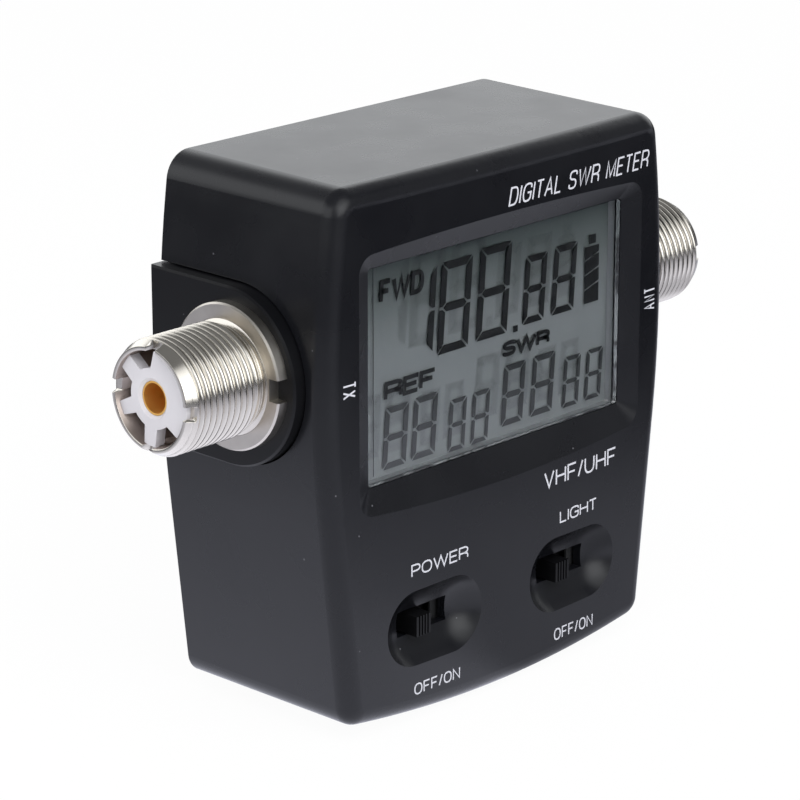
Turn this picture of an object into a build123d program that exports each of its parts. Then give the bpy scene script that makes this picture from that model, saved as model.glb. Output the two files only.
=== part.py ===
from build123d import *
from math import cos, radians, sin, tan
import os

os.makedirs("parts", exist_ok=True)

# A pocket SWR and power meter, in millimetres.  X runs from the transmitter socket to the
# aerial socket, Y from the front face to the back, Z up.  The origin is under the middle
# of the case, at the lowest point of its bowed base.

# ---- case, outside ---------------------------------------------------------------
CASE_DEPTH = 32.0          # crown of the front face to the back rim
CASE_HEIGHT = 77.5
WAIST_HALF = 34.8          # half the width where the sides stand out furthest
WAIST_Z = 52.0
UPPER_LEAN = 7.9           # degrees by which the sides lean in above the waist
LOWER_LEAN = 6.3           # and below it
SIDE_ROUND = 164.0         # radius that joins the two leans
BASE_RISE = 2.2            # how far the base's corners stand above its middle
TOP_CORNER = 4.0
BASE_CORNER = 3.4          # both corners stay rounder than FACE_EDGE at the front
DRAFT = 0.5                # degrees by which all four walls narrow towards the front
FACE_ROUND = 730.0         # the front face is slightly convex from side to side
FACE_EDGE = 2.6            # rounding all round the front face

# ---- case, inside ----------------------------------------------------------------
WALL = 2.2
FRONT_WALL = 2.4
COVER_THICK = 2.0
COVER_GAP = 0.15

# ---- window ----------------------------------------------------------------------
WINDOW_W = 50.9
WINDOW_H = 30.3
WINDOW_Z = 50.6
WINDOW_CORNER = 0.6
RECESS_DEPTH = 1.9         # lip of the window below the crown of the face
RECESS_SIDE = 4.9          # how far the recess is wider at its mouth plane, each side
RECESS_TOP = 3.2
RECESS_BASE = 4.5
RECESS_CORNER = 4.0
RECESS_MOUTH = 0.3         # the recess is drawn this far out past the crown of the face
LIP = 1.4                  # thickness of the lip that the lens fills
SURROUND_SIDE = 0.75       # block behind the recess: inside its mouth at each side,
SURROUND_TOP = 0.4         # above it,
SURROUND_BASE = 1.0        # and short of its lower edge
LENS_GAP = 0.1
LENS_SUNK = 0.1            # lens below the lip's front
FLANGE_MARGIN = 1.3
FLANGE_THICK = 0.8

# ---- display stack ---------------------------------------------------------------
FRAME_LEDGE = 1.2          # frame material in front of the panel
FRAME_MARGIN = 1.7
PANEL_MARGIN = 0.7
PANEL_GAP = 0.1
PANEL_THICK = 2.3
GUIDE_THICK = 2.0
GUIDE_MARGIN = 2.95        # light guide and contact strips inside the window's ends
STRIP_MARGIN = 1.45
STRIP_H = 1.6
STRIP_GAP = 0.3
LED_SIZE = (1.4, 1.5, 3.0)
LED_GAP = 1.1              # lamp beyond the end of the guide

# ---- main board ------------------------------------------------------------------
BOARD_THICK = 1.6
BOARD_BASE = 9.2
BOARD_LOWER_GAP = 1.8      # board inside the case's wall, below the step
BOARD_UPPER_GAP = 0.35     # and above it
BOARD_STEP_Z = 34.5
BOARD_BOSS_R = 2.1
BOARD_BOSS_SIDE = 1.8      # upper bosses in from the board's sides
BOARD_BOSS_DOWN = 3.2      # and down from its top
BOARD_BOSS_LOWER = (24.0, 29.5)
CHIP_SIZE = 12.0
CHIP_THICK = 1.6
CHIP_AT = (-9.0, 22.0)
AMPLIFIER_SIZE = (4.9, 1.5, 3.9)
AMPLIFIER_AT = ((6.5, 17.0), (6.5, 24.0), (14.5, 24.0))
CRYSTAL_SIZE = (8.0, 2.6, 3.4)
CRYSTAL_AT = (14.0, 16.5)

# ---- screws ----------------------------------------------------------------------
SCREW_GAP = 0.05           # radial room round a screw's thread in its boss
HOLE_GAP = 0.2             # radial room round a screw in the piece it holds
SMALL_SCREW_R = 0.95
SMALL_SCREW_LENGTH = 6.0
SMALL_HEAD_R = 1.9
SMALL_HEAD_THICK = 1.1
CASE_SCREW_R = 1.25
CASE_SCREW_LENGTH = 10.0
CASE_HEAD_R = 2.4
CASE_BOSS_R = 2.6
CASE_BOSS_TOP_SIDE = 5.6   # upper case screws in from the case's side
CASE_BOSS_TOP_DOWN = 6.0   # and below its top
CASE_BOSS_BASE_SIDE = 11.0
CASE_BOSS_BASE_Z = 5.9
DRIVER_R = 1.1             # half the width of the cross recess in each head
DRIVER_SLOT = 0.5
DRIVER_DEEP = 0.6

# ---- switches --------------------------------------------------------------------
SWITCH_X = 14.3
SWITCH_Z = 13.9
DISH_L = 18.6
DISH_H = 11.2
DISH_DEPTH = 3.0
DISH_FLOOR = 1.2           # material left behind the deepest part of the dish
DISH_MARGIN = 1.1
SLOT_L = 9.6
SLOT_H = 3.6
KNOB_W = 2.8
KNOB_H = 2.9
KNOB_SUNK = 0.35           # knob's tip below the crown of the face
KNOB_TRAVEL = 4.0
KNOB_RIBS = 4              # grooves across the knob's tip
KNOB_GROOVE = 0.28
SWITCH_CAN_L = 13.0
SWITCH_CAN_H = 6.6
SWITCH_CAN_WALL = 0.4
SWITCH_CAN_GAP = 0.5       # can behind the dish's floor
SLIDER_L = 6.0
SLIDER_THICK = 1.6
SLIDE_GAP = 0.2            # room round the slider and the knob

# ---- coupler and sockets ---------------------------------------------------------
SOCKET_DOWN = 15.8         # socket axis behind the crown of the face
SOCKET_Z = 50.9
PLATE_R = 12.4
PLATE_OFF_Y = 1.1          # centre of the D behind the socket axis
PLATE_OFF_Z = -0.5
PLATE_X = 36.4             # outer face of each D-shaped end plate
PLATE_EDGE = 0.3
PLATE_GAP = 0.2
THREAD_R = 7.9375          # 5/8 inch thread, major radius
THREAD_START_X = 39.4
THREAD_LEAD = 0.5          # bevel on the thread's inner end
THREAD_END_X = 50.03
TIP_X = 51.65
TIP_R = 7.09
NECK_R = 7.1
NECK_RING_R = 7.5
NECK_RING_X = 38.75
NECK_RING_W = 0.2
BARREL_BORE = 6.55
NOTCH_W = 2.0
NOTCH_DEEP = 1.3
NOTCH_TURN = -4.0
BARREL_GAP = 0.03
NUT_R = 10.06
NUT_THICK = 1.65
NUT_EDGE = 0.25
NUT_NOTCH_W = 3.1
NUT_NOTCH_DEEP = 1.8
STAR_SUNK = 0.65           # insulator's face below the barrel's tip
STAR_GAP = 0.05
STAR_SHOULDER_X = 34.0     # the insulator's inner end rests on a shoulder here
STAR_SHOULDER_R = 5.6
STAR_HUB_R = 4.1
STAR_THICK = 1.6           # the star's web, carried on a stem
STAR_STEM_R = 3.2
STAR_BASE_THICK = 3.0      # flange on the stem's inner end
STAR_POCKETS = (108.0, 173.0, 233.0, 295.0)
STAR_POCKET_SPAN = 47.0    # degrees of the barrel that a pocket opens to
STAR_POCKET_FOOT = 29.0    # and of the hub
STAR_CONE_R = 2.75
STAR_CONE_DEEP = 0.35
CONTACT_R = 2.3
CONTACT_BORE = 2.05
CONTACT_BORE_DEEP = 12.0
CONTACT_SUNK = 1.05
CONTACT_COLLAR_R = 3.2
CONTACT_COLLAR_THICK = 1.0
CONTACT_TAIL_X = 27.0
CONTACT_TAIL_R = 1.7
CUP_DEEP = 3.0
LINE_R = 1.2
LINE_GAP = 0.05
TROUGH_FRONT_GAP = 0.2     # chassis behind the main board
TROUGH_FRONT_WALL = 1.0
TROUGH_SIDE_WALL = 1.3
TROUGH_HALF_H = 10.6
TROUGH_BACK_ROOM = 1.0     # trough's mouth in front of the rear cover
LID_THICK = 0.6
SLEEVE_R = 1.45
SLEEVE_L = 9.0
CORE_R = 2.9
CORE_HOLE_R = 1.9
CORE_L = 5.0
CORE_X = -6.0
WIRE = 0.25
WIRE_GAP = 0.02
TURNS = 10
DETECTOR_BACK = 6.2        # detector board behind the socket axis
DETECTOR_THICK = 1.2
DETECTOR_HALF_W = 26.0
DETECTOR_MARGIN = 0.8
POST_R = 1.9
POST_X = 22.0
POST_Z = 6.4               # posts above and below the socket axis
DETECTOR_PARTS = ((-14.0, 3.0, 5.0, 3.9), (-14.0, -3.6, 2.0, 1.2), (-4.0, 2.0, 3.2, 1.6),
                  (3.0, 2.0, 3.2, 1.6), (11.0, 3.0, 5.0, 3.9), (11.0, -3.6, 2.0, 1.2))
DETECTOR_PART_THICK = 1.3
HEADER_W = 10.2
HEADER_H = 2.4
HEADER_DOWN = 7.1          # header below the socket axis
HEADER_GAP = 0.3

# ---- battery bay -----------------------------------------------------------------
CELL_R = 5.25
CELL_BODY = 43.3
NUB_R = 1.9
NUB_L = 1.2
BAY_END_ROOM = 3.5         # bay longer than a cell, for both end contacts
BAY_BASE = 10.0
BAY_WALL = 1.2
TAB_ROOM = 2.0             # bay behind the cover below the door, for its tabs
CELL_GAP = 0.3
CELL_DOOR_GAP = 0.4
CELL_FLOOR_GAP = 0.2
DOOR_THICK = 1.5
DOOR_GAP = 0.2
DOOR_LEDGE = 1.0
TAB_X = 12.0
TAB_W = 5.0
TAB_REACH = 1.4
TAB_THICK = 0.8
TAB_DOWN = 0.2             # tab's face below the cover's inner face
FINGER_W = 10.0
FINGER_L = 6.0
FINGER_SLOT = 0.8
GRIPS = 4
GRIP_PITCH = 1.3
GRIP_W = 0.6
GRIP_DEEP = 0.4
PLATE_METAL = 0.4
END_PLATE_H = 9.0
BUTTON_R = 2.6
BUTTON_L = 0.9
LEG_W = 2.2
LEG_GAP = 0.2
MINUS_LEG_Z = -3.0         # legs of the end contacts, from their cell's axis
PLUS_LEG_Z = -3.4


def side_half(z):
    """Half the case's width at the back rim where its two straight leans pass height z."""
    turn = radians(UPPER_LEAN + LOWER_LEAN)
    peak = WAIST_HALF + SIDE_ROUND * (1 / cos(turn / 2) - 1)
    lean = UPPER_LEAN if z > WAIST_Z else LOWER_LEAN
    return peak - tan(radians(lean)) * abs(z - WAIST_Z)


# ---- places worked out from the sizes --------------------------------------------
FRONT = -CASE_DEPTH / 2
BACK = CASE_DEPTH / 2
COVER_INNER = BACK - COVER_THICK
FACE_INNER = FRONT + FRONT_WALL
LIP_FRONT = FRONT + RECESS_DEPTH
LIP_BACK = LIP_FRONT + LIP
LENS_BACK = LIP_BACK + FLANGE_THICK
PANEL_FRONT = LENS_BACK + FRAME_LEDGE
PANEL_BACK = PANEL_FRONT + PANEL_THICK
BOARD_FRONT = PANEL_BACK + GUIDE_THICK
BOARD_BACK = BOARD_FRONT + BOARD_THICK
PANEL_W = WINDOW_W + 2 * PANEL_MARGIN
PANEL_H = WINDOW_H + 2 * PANEL_MARGIN
GUIDE_W = WINDOW_W - 2 * GUIDE_MARGIN
STRIP_W = WINDOW_W - 2 * STRIP_MARGIN
LED_X = GUIDE_W / 2 + LED_GAP + LED_SIZE[0] / 2
CASE_BOSS_TOP_Z = CASE_HEIGHT - CASE_BOSS_TOP_DOWN
CASE_BOSS_TOP = (side_half(CASE_BOSS_TOP_Z) - CASE_BOSS_TOP_SIDE, CASE_BOSS_TOP_Z)
CASE_BOSS_BASE = (side_half(CASE_BOSS_BASE_Z) - CASE_BOSS_BASE_SIDE, CASE_BOSS_BASE_Z)
CASE_BOSSES = [(side * x, z) for side in (-1, 1) for x, z in (CASE_BOSS_TOP, CASE_BOSS_BASE)]
BOARD_TOP = CASE_BOSS_TOP_Z - CASE_BOSS_R - HOLE_GAP
BOARD_UPPER_HALF = side_half(BOARD_TOP) - WALL - BOARD_UPPER_GAP
BOARD_LOWER_HALF = side_half(BOARD_BASE) - WALL - BOARD_LOWER_GAP
BOARD_BOSS_UPPER = (BOARD_UPPER_HALF - BOARD_BOSS_SIDE, BOARD_TOP - BOARD_BOSS_DOWN)
BOARD_BOSSES = [(side * x, z) for side in (-1, 1) for x, z in (BOARD_BOSS_UPPER, BOARD_BOSS_LOWER)]
SOCKET_Y = FRONT + SOCKET_DOWN
SOCKET_AXIS = Axis((0, SOCKET_Y, SOCKET_Z), (1, 0, 0))
PLATE_Y = SOCKET_Y + PLATE_OFF_Y
PLATE_Z = SOCKET_Z + PLATE_OFF_Z
CHASSIS_HALF = WAIST_HALF - WALL
NUT_FACE_X = PLATE_X + NUT_THICK
TROUGH_FRONT = BOARD_BACK + TROUGH_FRONT_GAP
TROUGH_FLOOR = TROUGH_FRONT + TROUGH_FRONT_WALL
TROUGH_BACK = COVER_INNER - TROUGH_BACK_ROOM
DETECTOR_Y = SOCKET_Y + DETECTOR_BACK
POSTS = [(x, SOCKET_Z + z) for x in (-POST_X, POST_X) for z in (-POST_Z, POST_Z)]
DISH_R = ((DISH_H / 2) ** 2 + DISH_DEPTH ** 2) / (2 * DISH_DEPTH)
DISH_BACK = FRONT + DISH_DEPTH + DISH_FLOOR
CAN_FRONT = DISH_BACK + SWITCH_CAN_GAP
SLIDER_FRONT = CAN_FRONT + SWITCH_CAN_WALL + SLIDE_GAP
CELL_L = CELL_BODY + NUB_L
BAY_HALF = (CELL_L + BAY_END_ROOM) / 2
DOOR_INNER = BACK - DOOR_THICK
CELL_Y = DOOR_INNER - CELL_DOOR_GAP - CELL_R
BAY_FLOOR = CELL_Y - CELL_R - CELL_FLOOR_GAP
DOORWAY_BASE = BAY_BASE + TAB_ROOM
LOWER_CELL_Z = DOORWAY_BASE + CELL_GAP + CELL_R
UPPER_CELL_Z = LOWER_CELL_Z + 2 * CELL_R + CELL_GAP
BAY_TOP = UPPER_CELL_Z + CELL_R + CELL_GAP
DOOR_HALF = BAY_HALF + DOOR_LEDGE - DOOR_GAP
DOOR_BASE = DOORWAY_BASE + DOOR_GAP
DOOR_TOP = BAY_TOP + DOOR_LEDGE - DOOR_GAP


def facing_front(y):
    """Sketch plane at depth y: its x is X, its y is Z, and it extrudes towards the front."""
    return Plane.XZ.offset(-y)


def case_outline(inset):
    """The case's outline at the back rim, moved inwards by inset."""
    peak_x = side_half(WAIST_Z)
    top_x = side_half(CASE_HEIGHT)
    base_x = side_half(BASE_RISE)
    with BuildSketch() as outline:
        with BuildLine():
            ThreePointArc((-base_x, BASE_RISE), (0, 0), (base_x, BASE_RISE))
            Line((base_x, BASE_RISE), (peak_x, WAIST_Z))
            Line((peak_x, WAIST_Z), (top_x, CASE_HEIGHT))
            Line((top_x, CASE_HEIGHT), (-top_x, CASE_HEIGHT))
            Line((-top_x, CASE_HEIGHT), (-peak_x, WAIST_Z))
            Line((-peak_x, WAIST_Z), (-base_x, BASE_RISE))
        make_face()
        fillet(outline.vertices().group_by(Axis.Y)[1], SIDE_ROUND)
        fillet(outline.vertices().group_by(Axis.Y)[-1], TOP_CORNER)
        fillet(outline.vertices().group_by(Axis.Y)[0], BASE_CORNER)
        if inset:
            offset(amount=-inset, kind=Kind.INTERSECTION)
    return outline.sketch


def write(built, node):
    """Label a finished sub-part and write its STEP file."""
    built.part.label = node
    export_step(built.part, f"parts/{node}.step")


def block(x, y, z, mode=Mode.ADD):
    """A box between the limits x, y and z, each a (low, high) pair."""
    centre = ((x[0] + x[1]) / 2, (y[0] + y[1]) / 2, (z[0] + z[1]) / 2)
    with Locations(centre):
        Box(x[1] - x[0], y[1] - y[0], z[1] - z[0], mode=mode)


def rod(places, radius, y, mode=Mode.ADD):
    """Round bars along Y at (x, z) places, between the two depths in y."""
    with BuildSketch(facing_front(y[1])) as ends:
        with Locations(*places):
            Circle(radius)
    extrude(ends.sketch, amount=y[1] - y[0], mode=mode)


def driver_recess(places, y):
    """Cross recesses cut forwards from depth y into the screw heads at (x, z) places."""
    with BuildSketch(facing_front(y)) as crosses:
        with Locations(*places):
            Rectangle(2 * DRIVER_R, DRIVER_SLOT)
            Rectangle(DRIVER_SLOT, 2 * DRIVER_R)
    extrude(crosses.sketch, amount=DRIVER_DEEP, mode=Mode.SUBTRACT)


def small_screws(node, places, seat):
    """Pan-head screws that go in forwards, their heads resting on depth seat."""
    with BuildPart() as screws:
        rod(places, SMALL_SCREW_R, (seat - SMALL_SCREW_LENGTH, seat))
        rod(places, SMALL_HEAD_R, (seat, seat + SMALL_HEAD_THICK))
        driver_recess(places, seat + SMALL_HEAD_THICK)
    write(screws, node)


def plate_outline(grow):
    """The D of an end plate on the YZ plane: a half circle with legs to the back rim."""
    with BuildSketch() as outline:
        with Locations((PLATE_Y, PLATE_Z)):
            Circle(PLATE_R + grow)
        with Locations(((PLATE_Y + BACK) / 2, PLATE_Z)):
            Rectangle(BACK - PLATE_Y, 2 * (PLATE_R + grow))
    return outline.sketch


# ---- front case ------------------------------------------------------------------
def cut_recess():
    """The sloping walls round the window, from the lip out through the face."""
    rise = (RECESS_DEPTH + RECESS_MOUTH) / RECESS_DEPTH
    wide = WINDOW_W + 2 * RECESS_SIDE
    high = WINDOW_H + (RECESS_TOP + RECESS_BASE) * rise
    with BuildSketch(facing_front(LIP_FRONT)) as inner:
        with Locations((0, WINDOW_Z)):
            RectangleRounded(WINDOW_W, WINDOW_H, WINDOW_CORNER)
    with BuildSketch(facing_front(FRONT - RECESS_MOUTH)) as outer:
        with Locations((0, WINDOW_Z + (RECESS_TOP - RECESS_BASE) * rise / 2)):
            RectangleRounded(wide, high, RECESS_CORNER)
    loft((inner.sketch, outer.sketch), ruled=True, mode=Mode.SUBTRACT)


def cut_dish(x):
    """A dished switch recess: a bar with ball ends, turned in one piece, sinks into the face."""
    half = (DISH_L - DISH_H) / 2
    slant = DISH_R * sin(radians(45))
    middle = (x, FRONT + DISH_DEPTH - DISH_R, SWITCH_Z)
    with BuildSketch(Plane(origin=middle, z_dir=(0, 0, 1))) as profile:
        with BuildLine():
            Line((-half - DISH_R, 0), (half + DISH_R, 0))
            ThreePointArc((half + DISH_R, 0), (half + slant, slant), (half, DISH_R))
            Line((half, DISH_R), (-half, DISH_R))
            ThreePointArc((-half, DISH_R), (-half - slant, slant), (-half - DISH_R, 0))
        make_face()
    revolve(profile.sketch, axis=Axis(middle, (1, 0, 0)), mode=Mode.SUBTRACT)
    slot_z = (SWITCH_Z - SLOT_H / 2, SWITCH_Z + SLOT_H / 2)
    block((x - SLOT_L / 2, x + SLOT_L / 2), (FRONT, DISH_BACK + HOLE_GAP), slot_z, Mode.SUBTRACT)


with BuildPart() as front_case:
    with BuildSketch(facing_front(BACK)):
        add(case_outline(0))
    extrude(amount=CASE_DEPTH, taper=DRAFT)
    far = FRONT - CASE_DEPTH
    edge = 2 * WAIST_HALF
    sag = edge ** 2 / (2 * FACE_ROUND)
    with BuildSketch():
        with BuildLine():
            ThreePointArc((-edge, FRONT + sag), (0, FRONT), (edge, FRONT + sag))
            Polyline((edge, FRONT + sag), (edge, far), (-edge, far), (-edge, FRONT + sag))
        make_face()
    extrude(amount=CASE_HEIGHT, both=True, mode=Mode.SUBTRACT)
    fillet(front_case.faces().sort_by(Axis.Y)[0].edges(), FACE_EDGE)
    with BuildSketch(facing_front(BACK)):
        add(case_outline(WALL))
    extrude(amount=CASE_DEPTH - FRONT_WALL, taper=DRAFT, mode=Mode.SUBTRACT)
    surround = WINDOW_W / 2 + RECESS_SIDE - SURROUND_SIDE
    surround_z = (WINDOW_Z - WINDOW_H / 2 - RECESS_BASE + SURROUND_BASE,
                  WINDOW_Z + WINDOW_H / 2 + RECESS_TOP + SURROUND_TOP)
    block((-surround, surround), (FACE_INNER - HOLE_GAP, LIP_BACK), surround_z)
    with BuildSketch(facing_front(DISH_BACK)):
        with Locations((-SWITCH_X, SWITCH_Z), (SWITCH_X, SWITCH_Z)):
            SlotOverall(DISH_L + 2 * DISH_MARGIN, DISH_H + 2 * DISH_MARGIN)
    extrude(amount=DISH_BACK - FACE_INNER + HOLE_GAP)
    rod(CASE_BOSSES, CASE_BOSS_R, (FACE_INNER - HOLE_GAP, COVER_INNER))
    rod(BOARD_BOSSES, BOARD_BOSS_R, (FACE_INNER - HOLE_GAP, BOARD_FRONT))
    cut_recess()
    with BuildSketch(facing_front(LIP_BACK)):
        with Locations((0, WINDOW_Z)):
            RectangleRounded(WINDOW_W, WINDOW_H, WINDOW_CORNER)
    extrude(amount=LIP, mode=Mode.SUBTRACT)
    cut_dish(-SWITCH_X)
    cut_dish(SWITCH_X)
    case_thread_y = (COVER_INNER - CASE_SCREW_LENGTH, COVER_INNER)
    rod(CASE_BOSSES, CASE_SCREW_R + SCREW_GAP, case_thread_y, Mode.SUBTRACT)
    board_thread_y = (BOARD_FRONT - SMALL_SCREW_LENGTH, BOARD_FRONT)
    rod(BOARD_BOSSES, SMALL_SCREW_R + SCREW_GAP, board_thread_y, Mode.SUBTRACT)
    with BuildSketch(Plane.YZ):
        add(plate_outline(PLATE_GAP))
    extrude(amount=2 * WAIST_HALF, both=True, mode=Mode.SUBTRACT)
write(front_case, "front_case")

# ---- window and display ----------------------------------------------------------
with BuildPart() as display_lens:
    with BuildSketch(facing_front(LENS_BACK)):
        with Locations((0, WINDOW_Z)):
            RectangleRounded(WINDOW_W + 2 * FLANGE_MARGIN, WINDOW_H + 2 * FLANGE_MARGIN, WINDOW_CORNER)
    extrude(amount=FLANGE_THICK)
    with BuildSketch(facing_front(LIP_BACK)):
        with Locations((0, WINDOW_Z)):
            RectangleRounded(WINDOW_W - 2 * LENS_GAP, WINDOW_H - 2 * LENS_GAP, WINDOW_CORNER - LENS_GAP)
    extrude(amount=LIP - LENS_SUNK)
write(display_lens, "display_lens")

with BuildPart() as display_frame:
    with BuildSketch(facing_front(BOARD_FRONT)):
        with Locations((0, WINDOW_Z)):
            Rectangle(WINDOW_W + 2 * FRAME_MARGIN, WINDOW_H + 2 * FRAME_MARGIN)
            Rectangle(WINDOW_W, WINDOW_H, mode=Mode.SUBTRACT)
    extrude(amount=BOARD_FRONT - LENS_BACK)
    with BuildSketch(facing_front(BOARD_FRONT)):
        with Locations((0, WINDOW_Z)):
            Rectangle(PANEL_W + 2 * PANEL_GAP, PANEL_H + 2 * PANEL_GAP)
    extrude(amount=BOARD_FRONT - PANEL_FRONT, mode=Mode.SUBTRACT)
write(display_frame, "display_frame")

with BuildPart() as lcd_panel:
    panel_z = (WINDOW_Z - PANEL_H / 2, WINDOW_Z + PANEL_H / 2)
    block((-PANEL_W / 2, PANEL_W / 2), (PANEL_FRONT, PANEL_BACK), panel_z)
write(lcd_panel, "lcd_panel")

with BuildPart() as light_guide:
    guide_h = PANEL_H - 2 * (STRIP_H + STRIP_GAP + PANEL_GAP)
    guide_z = (WINDOW_Z - guide_h / 2, WINDOW_Z + guide_h / 2)
    block((-GUIDE_W / 2, GUIDE_W / 2), (PANEL_BACK, BOARD_FRONT), guide_z)
write(light_guide, "light_guide")

STRIP_BASES = {"upper_contact_strip": panel_z[1] - STRIP_H, "lower_contact_strip": panel_z[0]}
for node, strip_base in STRIP_BASES.items():
    with BuildPart() as contact_strip:
        strip_z = (strip_base, strip_base + STRIP_H)
        block((-STRIP_W / 2, STRIP_W / 2), (PANEL_BACK, BOARD_FRONT), strip_z)
    write(contact_strip, node)

with BuildPart() as backlight_leds:
    with Locations(*[(side * LED_X, BOARD_FRONT - LED_SIZE[1] / 2, WINDOW_Z) for side in (-1, 1)]):
        Box(*LED_SIZE)
write(backlight_leds, "backlight_leds")

# ---- main board ------------------------------------------------------------------
with BuildPart() as main_board:
    block((-BOARD_LOWER_HALF, BOARD_LOWER_HALF), (BOARD_FRONT, BOARD_BACK), (BOARD_BASE, BOARD_STEP_Z))
    block((-BOARD_UPPER_HALF, BOARD_UPPER_HALF), (BOARD_FRONT, BOARD_BACK), (BOARD_STEP_Z, BOARD_TOP))
    rod(BOARD_BOSSES, SMALL_SCREW_R + HOLE_GAP, (BOARD_FRONT, BOARD_BACK), Mode.SUBTRACT)
write(main_board, "main_board")
small_screws("board_screws", BOARD_BOSSES, BOARD_BACK)

with BuildPart() as processor_chip:
    with Locations((CHIP_AT[0], BOARD_BACK + CHIP_THICK / 2, CHIP_AT[1])):
        Box(CHIP_SIZE, CHIP_THICK, CHIP_SIZE)
    chamfer(processor_chip.faces().sort_by(Axis.Y)[-1].edges(), CHIP_THICK / 8)
write(processor_chip, "processor_chip")

with BuildPart() as amplifier_chips:
    with Locations(*[(x, BOARD_BACK + AMPLIFIER_SIZE[1] / 2, z) for x, z in AMPLIFIER_AT]):
        Box(*AMPLIFIER_SIZE)
write(amplifier_chips, "amplifier_chips")

with BuildPart() as crystal:
    with Locations((CRYSTAL_AT[0], BOARD_BACK + CRYSTAL_SIZE[1] / 2, CRYSTAL_AT[1])):
        Box(*CRYSTAL_SIZE)
    fillet(crystal.edges().filter_by(Axis.Y), CRYSTAL_SIZE[2] / 3)
write(crystal, "crystal")


# ---- slide switches --------------------------------------------------------------
def switch_can(node, x):
    """Pressed can on the main board, with the slot that the knob slides in."""
    inner = SWITCH_CAN_L / 2 - SWITCH_CAN_WALL
    inner_h = SWITCH_CAN_H / 2 - SWITCH_CAN_WALL
    slot = (KNOB_W + KNOB_TRAVEL) / 2 + 2 * SLIDE_GAP
    slot_h = KNOB_H / 2 + SLIDE_GAP
    with BuildPart() as can:
        half_z = SWITCH_CAN_H / 2
        block((x - SWITCH_CAN_L / 2, x + SWITCH_CAN_L / 2), (CAN_FRONT, BOARD_FRONT),
              (SWITCH_Z - half_z, SWITCH_Z + half_z))
        fillet(can.edges().filter_by(Axis.Y), SWITCH_CAN_WALL)
        room = (CAN_FRONT + SWITCH_CAN_WALL, SLIDER_FRONT + SLIDER_THICK + SLIDE_GAP)
        block((x - inner, x + inner), room, (SWITCH_Z - inner_h, SWITCH_Z + inner_h), Mode.SUBTRACT)
        block((x - slot, x + slot), (CAN_FRONT, room[0]), (SWITCH_Z - slot_h, SWITCH_Z + slot_h),
              Mode.SUBTRACT)
    write(can, node)


def switch_knob(node, x):
    """Slider and knob in one moulding, at rest in the off place."""
    rest = x - KNOB_TRAVEL / 2
    tip = FRONT + KNOB_SUNK
    slider_h = SWITCH_CAN_H / 2 - SWITCH_CAN_WALL - SLIDE_GAP
    pitch = KNOB_W / (KNOB_RIBS + 1)
    with BuildPart() as knob:
        block((rest - KNOB_W / 2, rest + KNOB_W / 2), (tip, SLIDER_FRONT),
              (SWITCH_Z - KNOB_H / 2, SWITCH_Z + KNOB_H / 2))
        block((rest - SLIDER_L / 2, rest + SLIDER_L / 2), (SLIDER_FRONT, SLIDER_FRONT + SLIDER_THICK),
              (SWITCH_Z - slider_h, SWITCH_Z + slider_h))
        with Locations((rest, tip, SWITCH_Z)):
            with GridLocations(pitch, 1, KNOB_RIBS, 1):
                Box(KNOB_GROOVE, 2 * KNOB_GROOVE, KNOB_H, mode=Mode.SUBTRACT)
    write(knob, node)


switch_can("power_switch_body", -SWITCH_X)
switch_can("light_switch_body", SWITCH_X)
switch_knob("power_switch_knob", -SWITCH_X)
switch_knob("light_switch_knob", SWITCH_X)

# ---- coupler chassis -------------------------------------------------------------
with BuildPart() as coupler_chassis:
    for side in (-1, 1):
        with BuildSketch(Plane.YZ.offset(side * CHASSIS_HALF)):
            add(plate_outline(0))
        extrude(amount=side * (PLATE_X - CHASSIS_HALF))
    chamfer(coupler_chassis.faces().sort_by(Axis.X)[0].edges(), PLATE_EDGE)
    chamfer(coupler_chassis.faces().sort_by(Axis.X)[-1].edges(), PLATE_EDGE)
    trough_z = (SOCKET_Z - TROUGH_HALF_H, SOCKET_Z + TROUGH_HALF_H)
    block((-CHASSIS_HALF, CHASSIS_HALF), (TROUGH_FRONT, TROUGH_BACK), trough_z)
    room_z = (trough_z[0] + TROUGH_SIDE_WALL, trough_z[1] - TROUGH_SIDE_WALL)
    block((-CHASSIS_HALF, CHASSIS_HALF), (TROUGH_FLOOR, TROUGH_BACK), room_z, Mode.SUBTRACT)
    rod(POSTS, POST_R, (TROUGH_FRONT, DETECTOR_Y))
    rod(POSTS, SMALL_SCREW_R + SCREW_GAP, (DETECTOR_Y - SMALL_SCREW_LENGTH, DETECTOR_Y), Mode.SUBTRACT)
    header_z = SOCKET_Z - HEADER_DOWN
    slot_z = (header_z - HEADER_H / 2 - HEADER_GAP, header_z + HEADER_H / 2 + HEADER_GAP)
    block((-HEADER_W / 2 - HEADER_GAP, HEADER_W / 2 + HEADER_GAP), (TROUGH_FRONT, TROUGH_FLOOR), slot_z,
          Mode.SUBTRACT)
    with BuildSketch(Plane.YZ):
        with Locations((SOCKET_Y, SOCKET_Z)):
            Circle(THREAD_R + BARREL_GAP)
    extrude(amount=2 * PLATE_X, both=True, mode=Mode.SUBTRACT)
write(coupler_chassis, "coupler_chassis")

with BuildPart() as coupler_lid:
    lid_half = CHASSIS_HALF - 2 * HOLE_GAP
    block((-lid_half, lid_half), (TROUGH_BACK, TROUGH_BACK + LID_THICK), trough_z)
write(coupler_lid, "coupler_lid")


# ---- sockets ---------------------------------------------------------------------
def profile_plane(side):
    """Sketch plane through the socket axis: x is the distance out from the middle, y the radius."""
    return Plane(origin=(0, SOCKET_Y, SOCKET_Z), x_dir=(side, 0, 0), z_dir=(0, -side, 0))


def face_plane(side, x):
    """Plane square to the socket axis at distance x out from the middle, with its y up."""
    return Plane(origin=(side * x, SOCKET_Y, SOCKET_Z), x_dir=(0, side, 0), z_dir=(side, 0, 0))


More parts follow.
